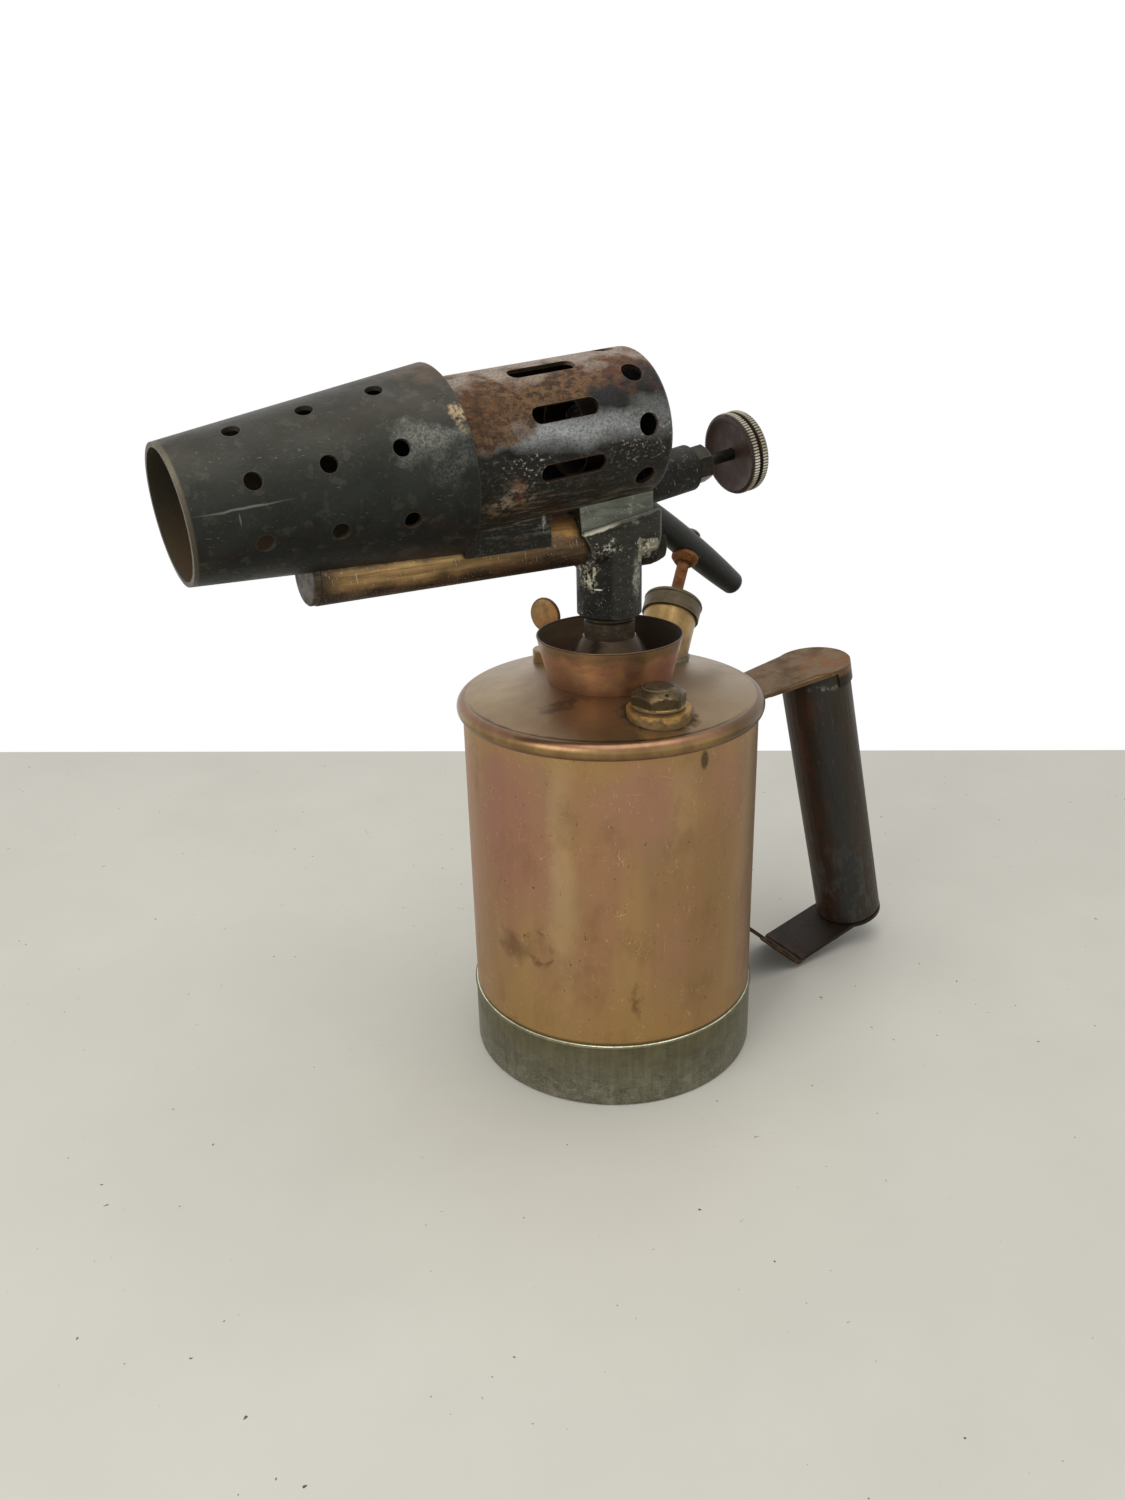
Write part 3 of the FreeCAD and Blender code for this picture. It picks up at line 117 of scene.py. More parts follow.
def set_camera():
    """Camera to the left of the nozzle and above it, tilted a little to one side."""
    eye = (0.2441, 0.3788, 0.3125)
    ahead = Vector((-0.4681, -0.8021, -0.3709)).normalized()
    roll = Matrix.Rotation(math.radians(-1.43), 4, "Z")
    camera = put("camera", bpy.data.cameras.new("camera"))
    turn = ahead.to_track_quat("-Z", "Y").to_matrix().to_4x4()
    camera.matrix_world = Matrix.Translation(eye) @ turn @ roll
    camera.data.sensor_fit = "VERTICAL"
    camera.data.sensor_height = 36
    camera.data.lens = 28.08
    camera.data.clip_start = 0.01
    bpy.context.scene.camera = camera


def set_bench():
    """Pale grey bench top. Its far edge runs behind the lamp, and beyond it the room is white."""
    far_left, far_right_shade = Vector((0.1966, -0.5272, 0)), Vector((-0.4765, -0.0760, 0))
    across = (far_right_shade - far_left).normalized()
    depth = Vector((across.y, -across.x, 0)) * 2.4
    left, right = far_left - across * 2, far_right_shade + across * 2
    corners = [left, right, right + depth, left + depth]
    mesh = bpy.data.meshes.new("bench")
    mesh.from_pydata(corners, [], [(0, 1, 2, 3)])
    bench = put("bench", mesh)
    mesh.materials.append(matt_bench_paint())


def set_light():
    """Even white room, one large soft lamp above and a smaller one to the left of the lamp."""
    world = bpy.data.worlds.new("studio")
    bpy.context.scene.world = world
    world.use_nodes = True
    tree = world.node_tree
    tree.nodes.clear()
    ray = add(tree, "LightPath").outputs
    room = add(tree, "Background", {"Color": colour("#F4F4F4"), "Strength": 0.68})
    white = add(tree, "Background", {"Color": (1, 1, 1, 1), "Strength": 1.0})
    seen = add(tree, "Math", {0: ray["Is Camera Ray"], 1: ray["Is Glossy Ray"]}, operation="MAXIMUM")
    seen = add(tree, "Math", {0: seen.outputs[0], 1: ray["Is Transmission Ray"]}, operation="MAXIMUM")
    either = add(tree, "MixShader", {0: seen.outputs[0], 1: room.outputs[0], 2: white.outputs[0]})
    add(tree, "OutputWorld", {"Surface": either.outputs[0]})
    aim = Vector((0, 0, 0.15))
    lamps = (("overhead", (0.0, 0.15, 1.3), 1.0, 7.5), ("left_window", (1.0, 0.3, 0.8), 0.8, 6))
    for name, place, size, watts in lamps:
        light = bpy.data.lights.new(name, "AREA")
        light.size = size
        light.energy = watts
        lamp = put(name, light)
        lamp.location = place
        lamp.rotation_euler = (aim - Vector(place)).to_track_quat("-Z", "Y").to_euler()
    bpy.context.scene.view_settings.view_transform = "Standard"


# ---------------- marks that the finishes are made of
# at is the place of each point on the lamp. Lengths are in mm, and a mark is 1 where it shows.

def patches(at, size, least, most, seed=0, detail=4):
    """1 in irregular patches and 0 between them. size is their length in mm, or one each on X, Y and Z."""
    size = size if isinstance(size, tuple) else (size,) * 3
    spot = add(at, "Mapping", {"Vector": at, "Location": (seed, 2.3 * seed, 3.1 * seed),
                               "Scale": [1000 / length for length in size]})
    cloud = add(at, "TexNoise", {"Vector": spot.outputs[0], "Scale": 1.0, "Detail": detail,
                                 "Roughness": 0.62}).outputs["Fac"]
    return add(at, "MapRange", {"Value": cloud, "From Min": least, "From Max": most}).outputs[0]


def ragged(at, size, shift):
    """Place pushed about by up to shift mm in clouds size mm across, so that a stain's edge is uneven. The
    clouds' colours stray about 0.25 from their middle, 0.5."""
    cloud = add(at, "TexNoise", {"Vector": at, "Scale": 1000 / size, "Detail": 3})
    push = add(at, "VectorMath", {0: cloud.outputs["Color"], 1: (0.5, 0.5, 0.5)}, operation="SUBTRACT")
    pushed = {0: push.outputs[0], 1: [shift / 250] * 3, 2: at}
    return add(at, "VectorMath", pushed, operation="MULTIPLY_ADD").outputs[0]


def near(at, centre, reach, soft=0.6):
    """1 at a centre, fading to 0 at its reach on X, Y and Z."""
    spot = add(at, "Mapping", {"Vector": at, "Location": metres(centre), "Scale": metres(reach)},
               vector_type="TEXTURE")
    gap = add(at, "VectorMath", {0: spot.outputs[0]}, operation="LENGTH").outputs["Value"]
    return add(at, "MapRange", {"Value": gap, "From Min": 1.0, "From Max": 1 - soft}).outputs[0]


def rise(at, start, end):
    """0 up to a start and 1 from an end on. Each is a point or, for a rise on Z, a height in mm."""
    start, end = [metres(p if isinstance(p, (tuple, Vector)) else (0, 0, p)) for p in (start, end)]
    way = end - start
    here = add(at, "VectorMath", {0: at, 1: start}, operation="SUBTRACT").outputs[0]
    share = add(at, "VectorMath", {0: here, 1: way / way.length_squared}, operation="DOT_PRODUCT")
    return add(at, "MapRange", {"Value": share.outputs["Value"]}).outputs[0]


def about(at, foot, axis):
    """Place in a frame that stands at foot with its Z along axis."""
    turn = Vector(axis).to_track_quat("Z", "Y").to_euler()
    return add(at, "Mapping", {"Vector": at, "Location": metres(foot), "Rotation": turn},
               vector_type="TEXTURE").outputs[0]


def from_axis(at):
    """Distance from the local Z axis, in metres."""
    flat = add(at, "VectorMath", {0: at, 1: (1, 1, 0)}, operation="MULTIPLY").outputs[0]
    return add(at, "VectorMath", {0: flat}, operation="LENGTH").outputs["Value"]


def out_from_axis(at, start, end):
    """0 within start mm of the local Z axis and 1 beyond end mm, or the other way round."""
    limits = {"From Min": start / 1000, "From Max": end / 1000}
    return add(at, "MapRange", {"Value": from_axis(at), **limits}).outputs[0]


def turning_lines(at, pitch, seed=0):
    """Rings about the local Z axis, left by a lathe or by polishing on one. Real ones are a tenth of a
    millimetre apart and too fine to show, so they are drawn at a wider pitch."""
    height = add(at, "SeparateXYZ", {0: at}).outputs["Z"]
    ring = add(at, "CombineXYZ", {"X": from_axis(at), "Y": height}).outputs[0]
    return patches(ring, pitch, 0.3, 0.7, seed)


def looks_in(at, foot, axis):
    """1 on faces that look towards an axis from 3 mm or more away, such as the inside of a tube."""
    here = add(at, "VectorMath", {0: at, 1: metres(foot)}, operation="SUBTRACT").outputs[0]
    share = add(at, "VectorMath", {0: here, 1: axis}, operation="PROJECT").outputs[0]
    out = add(at, "VectorMath", {0: here, 1: share}, operation="SUBTRACT").outputs[0]
    look = add(at, "TexCoord").outputs["Normal"]
    turn = add(at, "VectorMath", {0: out, 1: look}, operation="DOT_PRODUCT").outputs["Value"]
    return add(at, "MapRange", {"Value": turn, "From Min": 0.0, "From Max": -0.003}).outputs[0]


def worn_edges(at, width):
    """1 along edges, width mm wide, where a rounded normal turns 10 to 28 degrees from the true one."""
    true = add(at, "NewGeometry").outputs["Normal"]
    rounded = add(at, "Bevel", {"Radius": width / 1000}, samples=6).outputs[0]
    same = add(at, "VectorMath", {0: true, 1: rounded}, operation="DOT_PRODUCT").outputs["Value"]
    return add(at, "MapRange", {"Value": same, "From Min": 0.985, "From Max": 0.88}).outputs[0]


def laid(ground, *layers):
    """Lays colours, or numbers, over a ground. Each covers it by the product of its masks."""
    painted = isinstance(ground, str)
    kind, under, over, result = ("RGBA", 6, 7, 2) if painted else ("FLOAT", 2, 3, 0)
    top = colour(ground) if painted else ground
    for value, share, *masks in layers:
        for mask in masks:
            share = add(share, "Math", {0: share, 1: mask}, operation="MULTIPLY").outputs[0]
        value = colour(value) if painted else value
        top = add(share, "Mix", {0: share, under: top, over: value}, data_type=kind).outputs[result]
    return top


def finish(metallic, shine=0.5, coat=0):
    """Makes a function that names a surface's marks into one that returns its material, of the same name.
    The marks are its colour and roughness, each a ground with layers, its bumps as (height, depth in mm)
    and, where it isn't the same all over, how metallic it is. Soot, rust and oxide take less shine."""
    def wrap(marks):
        def make():
            material = bpy.data.materials.new(marks.__name__)
            material.use_nodes = True
            tree = material.node_tree
            shader = tree.nodes["Principled BSDF"].inputs
            shader["Metallic"].default_value = metallic
            shader["Specular IOR Level"].default_value = shine
            if coat:
                shader["Coat Weight"].default_value = coat
                shader["Coat Roughness"].default_value = 0.3
            paint, roughness, bumps, *metal = marks(add(tree, "TexCoord").outputs["Object"])
            for name, layers in zip(("Base Color", "Roughness", "Metallic"), (paint, roughness, *metal)):
                tree.links.new(laid(*layers), shader[name])
            for height, depth in bumps:
                bump = add(tree, "Bump", {"Height": height, "Distance": depth / 1000})
                if shader["Normal"].is_linked:
                    tree.links.new(shader["Normal"].links[0].from_socket, bump.inputs["Normal"])
                tree.links.new(bump.outputs[0], shader["Normal"])
            return material
        return make
    return wrap


# ---------------- bench, tank and base
# Wood grain, sand skin, pits, crumbs and hairline scratches are finer on a real lamp. They are drawn from
# 0.4 mm to 1.5 mm wide, as coarse as they need to be to show.


@finish(0)
def matt_bench_paint(at):
    """Matt grey-white bench paint, faintly uneven, with a few dark crumbs of grit."""
    uneven = patches(at, 60, 0.35, 0.65, 3)
    grit = patches(at, 3, 0.79, 0.82, 5, detail=1)
    paint = ("#C0BEB3", ("#BDBBB0", uneven), ("#4A4236", grit))
    return paint, (0.55, (0.6, uneven)), []


@finish(0.9)
def aged_tank_brass(at):
    """Rolled brass sheet, browned by age: pink where its zinc has gone, gold where it is still bright,
    with upright streaks, brown stains and hairline scratches. The streaks, a pink band on the left and
    gold low down and on the right are tarnish tones laid out partly as painted reflections; pale bands
    and the gold neck are painted reflections, both sides are darkened with painted shade, and a small
    dent is painted as shade."""
    # Upright pink and gold streaks: tarnish tones that also stand in for painted reflections.
    pink_streak_and_reflection = patches(at, (22, 22, 120), 0.46, 0.62, 1, detail=2)
    gold_streak_and_reflection = patches(at, (17, 17, 110), 0.5, 0.66, 4, detail=2)
    brown_cloud = patches(at, (16, 16, 24), 0.52, 0.74, 7)
    grey_cloud = patches(at, (30, 30, 40), 0.48, 0.7, 9)
    loose = ragged(at, 16, 5)
    # Pink band on the left: partly zinc-lost pink, partly a painted reflection.
    pink_side_and_reflection = near(loose, (57, 16, 118), (26, 26, 52))
    pink_top = near(loose, (20, 56, 137), (22, 22, 30))
    pink_middle = near(loose, (33, 50, 100), (14, 14, 55))
    # Gold low down: partly brass tone, partly a painted reflection.
    gold_foot_and_reflection = rise(loose, 62, 30)
    # Gold neck: a painted reflection.
    gold_neck_reflection = rise(loose, 143, 151)
    # Pale upright bands: painted reflections.
    pale = near(ragged(at, 30, 3), (46.5, 38, 95), (8, 8, 75))
    right_pale_reflection = near(ragged(at, 30, 3), (6, 59.5, 128), (9, 9, 34))
    # Gold on the right: partly brass tone, partly a painted reflection.
    gold_right_and_reflection = near(loose, (-10, 59, 75), (24, 24, 62))
    # Darker towards the tank's two sides: painted shade.
    shade_left = rise(at, (40, -30, 0), (50, -42, 0))
    shade_right = rise(at, (-22, 40, 0), (-48, 46, 0))
    uneven = ragged(at, 5, 3)
    stain = near(uneven, (57.5, 17, 66), (9, 12, 8), soft=0.7)
    stain_ring = near(uneven, (52.5, 29, 69.5), (9, 9, 9), soft=0.25)
    stain_heart = near(uneven, (52.5, 29, 70), (8, 8, 7.6), soft=0.2)
    bare = laid(1.0, (0.0, stain_heart))
    broken = patches(at, 7, 0.44, 0.56, 15, detail=2)
    hair = patches(ragged(at, 7, 4), (6, 6, 0.5), 0.72, 0.76, 16, detail=1)
    hair_field = patches(at, 15, 0.52, 0.62, 17)
    drip = near(at, (-2.8, 60, 147.5), (2.2, 3, 4.6), soft=0.4)
    # Dent: painted shade of a small dent.
    dent_shade = near(uneven, (24.3, 54.8, 48.5), (2.6, 3, 10), soft=0.8)
    seam_line = rise(at, 30.2, 29.3)
    speck = patches(at, 2.2, 0.7, 0.76, 11, detail=2)
    scratch_field = patches(at, 9, 0.45, 0.65, 12)
    scratch = patches(ragged(at, 9, 2.5), (0.5, 0.5, 18), 0.68, 0.71, 13, detail=1)
    cross_scratch = patches(ragged(at, 12, 5), (9, 9, 0.5), 0.7, 0.73, 18, detail=1)
    rub = patches(at, (0.6, 0.6, 30), 0.35, 0.75, 14, detail=3)
    paint = (
        "#A17D58", ("#A87F66", pink_streak_and_reflection, 0.7), ("#B0905E", gold_streak_and_reflection, 0.6),
        ("#9A8262", grey_cloud, 0.55), ("#A27262", pink_side_and_reflection, 0.75), ("#AC7F6A", pink_top, 0.6),
        ("#A87C60", pink_middle, 0.5), ("#BC9F76", pale, 0.5), ("#B8996A", right_pale_reflection, 0.45),
        ("#A88550", gold_foot_and_reflection, 0.7), ("#95764B", gold_right_and_reflection, 0.6), ("#AE8F52", gold_neck_reflection, 0.35),
        ("#80603F", brown_cloud, 0.5), ("#6E4A3C", shade_left, 0.6), ("#5E4629", shade_right, 0.85),
        ("#624630", stain, 0.6), ("#5A3C28", stain_ring, bare, broken, 0.7), ("#4A3D28", drip, 0.8),
        ("#6A4A33", dent_shade, 0.7), ("#4A3324", speck, 0.7), ("#3E3420", seam_line, 0.7),
        ("#5F432E", hair, hair_field, 0.5), ("#D9BD8C", scratch, scratch_field, 0.75),
        ("#CDB083", cross_scratch, scratch_field, 0.6))
    matt = (0.44, (0.52, brown_cloud), (0.38, gold_streak_and_reflection, 0.6), (0.6, stain, 0.8))
    return paint, matt, [(rub, 0.012), (grey_cloud, 0.15)]


@finish(0.9)
def brushed_dome_brass(at):
    """Spun brass, polished on the lathe: rings of fine lines, heat-browned round the cup, dark grime
    under the rolled bead and pink where the bead has been rubbed. Light is painted on too: a highlight
    on the left, shade on the right, a dark reflection on the front, shade at the cup's foot, a gold
    highlight along the middle of the bead and shade on the bead's far right."""
    rings = turning_lines(at, 0.5, 2)
    cloud = patches(at, 20, 0.42, 0.66, 5)
    uneven = ragged(at, 12, 5)
    hot = out_from_axis(uneven, 44, 26)
    # Front: a painted dark reflection.
    front = near(uneven, (26, 30, 161), (36, 34, 12))
    # Left: a painted highlight. Right: painted shade.
    left = near(uneven, (46, -26, 159), (26, 30, 12))
    right = near(uneven, (-36, 36, 159), (34, 26, 12))
    # Smear: painted shade at the cup's foot.
    smear = near(ragged(at, 6, 4), (31, 14, 162.5), (13, 5, 4))
    filler_grime = near(ragged(at, 4, 2.5), (5, 41.3, 162), (16.5, 16.5, 9), soft=0.22)
    inset = out_from_axis(ragged(at, 8, 0.5), 57.2, 58.2)
    edge = out_from_axis(at, 59.0, 58.5)
    front_half = rise(at, (8, 10, 0), (26, 34, 0))
    above_bead = rise(at, 157.0, 157.8)
    shoulder = rise(at, 155.6, 157.4)
    foot = rise(at, 154.2, 153.0)
    # The bead is painted gold, and this stays along its middle between the pink shoulder and foot as a
    # painted highlight.
    rim = out_from_axis(at, 58.6, 59.4)
    # Far right of the bead: painted shade.
    far_right_shade = rise(at, (-4, 0, 0), (-18, 0, 0))
    patchy = patches(at, 9, 0.42, 0.6, 8)
    speck = patches(at, 1.6, 0.7, 0.76, 9, detail=2)
    paint = (
        "#887150", ("#9C8460", left, 0.7), ("#7C6848", right, 0.7), ("#7A6246", cloud, 0.5),
        ("#6D533A", front, 0.75), ("#6A513D", hot, 0.6), ("#36271B", smear, 0.6),
        ("#2E2118", inset, edge, above_bead, front_half, 0.9), ("#241A12", filler_grime, 0.8),
        ("#94774A", rim, 0.8), ("#805C49", rim, shoulder, 0.75), ("#7A5644", rim, foot, 0.75),
        ("#4E3C28", rim, far_right_shade, 0.8), ("#5E4530", rim, patchy, 0.4), ("#3A2A1E", speck, 0.6))
    matt = (0.3, (0.42, hot, 0.7), (0.45, cloud, 0.4), (0.7, filler_grime))
    return paint, matt, [(rings, 0.01)]


@finish(0.75)
def dull_galvanised_steel(at):
    """Hot-dipped zinc gone dull: grey-olive, with soft crystals, white bloom low down and black scuffs."""
    crystal = add(at, "TexVoronoi", {"Vector": ragged(at, 6, 2), "Scale": 1000 / 7}).outputs["Color"]
    crystal = add(at, "SeparateColor", {0: crystal}).outputs["Red"]
    cloud = patches(at, (14, 14, 9), 0.42, 0.64, 2)
    bloom = patches(at, (4, 4, 3), 0.5, 0.7, 4)
    low = rise(at, 20, 6)
    olive = rise(ragged(at, 14, 6), 16, 26)
    scuff = patches(at, (2.4, 2.4, 1.2), 0.62, 0.7, 6, detail=5)
    fine = patches(at, 0.7, 0.4, 0.62, 8, detail=2)
    wipe = patches(at, (2.5, 2.5, 30), 0.4, 0.7, 9)
    rust = patches(at, (6, 6, 3), 0.58, 0.7, 12)
    paint = (
        "#706C56", ("#7D7A66", crystal, 0.35), ("#565342", cloud, 0.75), ("#6A6344", olive, 0.6),
        ("#949184", bloom, low, 0.8), ("#4C4936", wipe, 0.5), ("#2A2820", scuff, 0.75),
        ("#A3A194", fine, low, 0.3), ("#5C4A33", rust, 0.5))
    matt = (0.46, (0.62, bloom), (0.4, crystal, 0.3))
    return paint, matt, [(scuff, 0.03), (cloud, 0.05)]


@finish(0.9)
def tin_solder(at):
    """Soft solder wiped round a seam: bright, faintly green, with dull spots of flux."""
    dull = patches(at, (7, 7, 2), 0.45, 0.62, 3)
    pitted = patches(at, 0.8, 0.45, 0.7, 6)
    paint = ("#D6DAC4", ("#8F9276", dull, 0.7), ("#6B6A50", pitted, 0.3))
    return paint, (0.28, (0.5, dull)), [(pitted, 0.03)]


# ---------------- riser, cup and burner

@finish(0.85)
def heat_browned_copper(at):
    """Spun copper-rich brass, browned by burning spirit: rose on its flanks, partly a painted reflection
    of the tank top, gold near the rim, and sooty black-brown inside."""
    rings = turning_lines(at, 0.45, 1)
    cloud = patches(at, (9, 9, 5), 0.42, 0.64, 2)
    rose = patches(at, (16, 16, 7), 0.42, 0.6, 3)
    gold = rise(ragged(at, 8, 1.5), 176.5, 179.5)
    rim = rise(at, 181.8, 182.1)
    dark_foot = rise(ragged(at, 7, 2), 169.0, 165.0)
    inside = looks_in(at, LAMP_FOOT, UPRIGHT)
    shaded = rise(at, (4, -3, 0), (-12, 8, 0))
    cone = out_from_axis(at, 21.5, 19.5)
    streak = patches(at, (3, 3, 14), 0.5, 0.68, 6)
    speck = patches(at, 1.3, 0.66, 0.74, 7, detail=2)
    # Rose flanks: partly tarnish tone, partly a painted reflection of the tank top.
    right_flank_reflection = near(at, (-12, 27, 172), (13, 13, 16))
    left_flank_reflection = near(at, (29, 1, 172), (13, 13, 16))
    paint = (
        "#C6A077", ("#B58770", rose, 0.7), ("#A27168", right_flank_reflection, 0.8), ("#A57963", left_flank_reflection, 0.7),
        ("#8F6C50", cloud, 0.5), ("#7A6448", gold, 0.7), ("#3A2C1E", rim, 0.75),
        ("#7B5B45", dark_foot, 0.6), ("#45392A", inside, 0.85), ("#2A2116", inside, shaded, 0.9),
        ("#2C2317", cone, 0.95), ("#2C2118", streak, cone, 0.6), ("#2B1E16", speck, 0.5))
    matt = (0.3, (0.42, cloud), (0.6, inside))
    return paint, matt, [(rings, 0.012), (cloud, 0.05)]


@finish(0.6, 0.25)
def oil_blacked_steel(at):
    """Mild steel turned, then blackened by hot oil: dark brown-grey with turning lines and rubbed rings."""
    rings = turning_lines(at, 0.6, 2)
    cloud = patches(at, (5, 5, 4), 0.42, 0.66, 3)
    rub = patches(at, (3, 3, 1.2), 0.52, 0.66, 4)
    paint = ("#4B4134", ("#332C22", cloud, 0.8), ("#6E624E", rub, 0.6), ("#4A3A2A", rings, 0.3))
    return paint, (0.42, (0.6, cloud)), [(rings, 0.02)]


@finish(0.35, 0.15)
def sooted_bronze_casting(at):
    """Sand-cast bronze under soot and oil: black with a fine sand skin, milled flats a little greyer,
    a painted highlight along the ledge below the milled flat, and white and yellow crust where fuel
    has leaked and burned dry."""
    sand = patches(at, 0.7, 0.35, 0.7, 1)
    cloud = patches(at, 7, 0.42, 0.64, 2)
    flat = rise(at, (0, 11.0, 0), (0, 11.7, 0))
    line_foot, line_up = Vector((14.8, 12, 226.7)), Vector((0.178, 0, 0.984))
    milled = rise(at, line_foot, line_foot + line_up * 0.5)
    # Painted highlight along the upward-facing ledge below the milled flat, brightest at the front.
    ledge_highlight = rise(ragged(at, 6, 0.6), line_foot - line_up * 1.0, line_foot - line_up * 0.6)
    line_front = rise(at, (3, 0, 0), (9, 0, 0))
    film = patches(at, (4, 4, 1.4), 0.42, 0.62, 11)
    wipe = patches(at, (12, 1.2, 2.0), 0.45, 0.68, 4)
    crumbs = patches(at, 1.4, 0.48, 0.55, 6, detail=6)
    dust = patches(at, (1.9, 1.9, 1.3), 0.6, 0.67, 8, detail=5)
    uneven = ragged(at, 5, 4)
    socket_crust = near(uneven, (13.5, 5, 209.5), (6, 7.5, 8.5), soft=0.4)
    yoke_crust = near(uneven, (9, 12, 218.5), (9, 5, 3.0))
    rear_crust = near(uneven, (-9, 12, 216.5), (5.5, 5, 4.6), soft=0.4)
    top_crust = near(uneven, (-4, 12, 232.8), (8, 3, 3.6), soft=0.7)
    socket_streak = near(ragged(at, 4, 1.5), (-5, 11.5, 206.5), (2.6, 4, 9))
    socket_edge = rise(at, (11.6, 0, 0), (13.2, 0, 0))
    nick = near(at, (10.0, 7.7, 203.0), (2.2, 2.2, 0.4), soft=0.4)
    edges = worn_edges(at, 0.5)
    yellow = patches(at, 3, 0.42, 0.6, 9)
    scratch = patches(about(at, LAMP_FOOT, (0.5, 0.3, 1)), (0.4, 0.4, 5), 0.72, 0.76, 10, detail=1)
    paint = (
        "#24221D", ("#131210", cloud, 0.85), ("#403E36", flat, 0.6), ("#1F1D19", flat, wipe, 0.7),
        ("#7A776A", flat, ledge_highlight, 0.5), ("#DCD8C4", flat, ledge_highlight, line_front, 0.85),
        ("#676B61", flat, milled, 0.9), ("#35372F", flat, milled, wipe, 0.65),
        ("#AFAC98", top_crust, film, 0.75), ("#D6D2BC", socket_crust, crumbs),
        ("#94874F", socket_crust, yellow, crumbs, 0.6), ("#CFCBB8", yoke_crust, crumbs, 0.9),
        ("#BDB8A0", rear_crust, 0.55), ("#D8D2B8", rear_crust, crumbs, 0.9),
        ("#A5A18C", socket_streak, crumbs, 0.8), ("#8C8A7C", socket_streak, 0.35),
        ("#A8A592", socket_edge, dust), ("#9A978A", dust, 0.22), ("#9C9A8A", edges, flat, 0.6),
        ("#DAD6C8", nick), ("#C4C0B0", scratch, 0.8))
    crusted = laid(0.0, (1.0, socket_crust, crumbs), (1.0, rear_crust, crumbs), (1.0, yoke_crust, crumbs))
    matt = (0.45, (0.6, cloud), (0.34, flat, 0.5), (0.9, crusted))
    metal = (0.2, (0.7, flat, milled), (0.0, crusted))
    return paint, matt, [(sand, 0.08), (crusted, 0.4)], metal


@finish(0.75, 0.2)
def heat_browned_bronze(at):
    """Drawn bronze tube, browned by the flame: gold along its upper side where it has been rubbed, with
    a painted highlight on it, rust-red streaks below, and black underneath as painted shade."""
    drawn = patches(at, (26, 1.6, 1.2), 0.4, 0.62, 1, detail=5)
    smear = patches(at, (20, 4, 2.0), 0.46, 0.58, 2)
    red = patches(at, (12, 4, 3), 0.46, 0.62, 3)
    # Gold side and root: rubbed brass with a painted highlight.
    gold_side_highlight = near(ragged(at, 12, 3), (86, 10.5, 221.8), (48, 6, 5.4), soft=0.8)
    gold_root_highlight = near(ragged(at, 5, 2), (25, 8.5, 229.0), (9, 6, 4.5))
    # Black: painted shade on the rounded underside.
    black = rise(ragged(at, 9, 3), 218.5, 214.5)
    top_soot = rise(ragged(at, 7, 3), 225.5, 228.5)
    beyond = rise(at, (30, 0, 0), (36, 0, 0))
    scratch = patches(about(at, VAPORISER_FOOT, (0.2, 0.1, 1)), (0.4, 0.4, 7), 0.68, 0.72, 6, detail=1)
    end_bare = rise(ragged(at, 6, 2), (112, 0, 0), (118, 0, 0))
    flakes = patches(at, (2.0, 2.0, 1.2), 0.6, 0.66, 8, detail=5)
    paint = (
        "#6A5842", ("#44382A", smear, 0.65), ("#7C5840", red, 0.6), ("#A88657", gold_side_highlight, 0.85),
        ("#D8B47C", gold_side_highlight, drawn, 0.55), ("#3A2C1C", gold_side_highlight, smear, 0.3),
        ("#A97D42", gold_root_highlight, 0.6), ("#C08F4C", gold_root_highlight, drawn, 0.6),
        ("#1D1916", top_soot, beyond, 0.85), ("#26201A", black, 0.85), ("#5E3F28", black, red, 0.4),
        ("#2A2622", end_bare, 0.7), ("#8E8878", flakes, top_soot, 0.7), ("#C9C0A8", scratch, 0.7))
    matt = (0.38, (0.55, smear), (0.6, black), (0.3, gold_side_highlight, drawn))
    return paint, matt, [(drawn, 0.03), (smear, 0.06)]


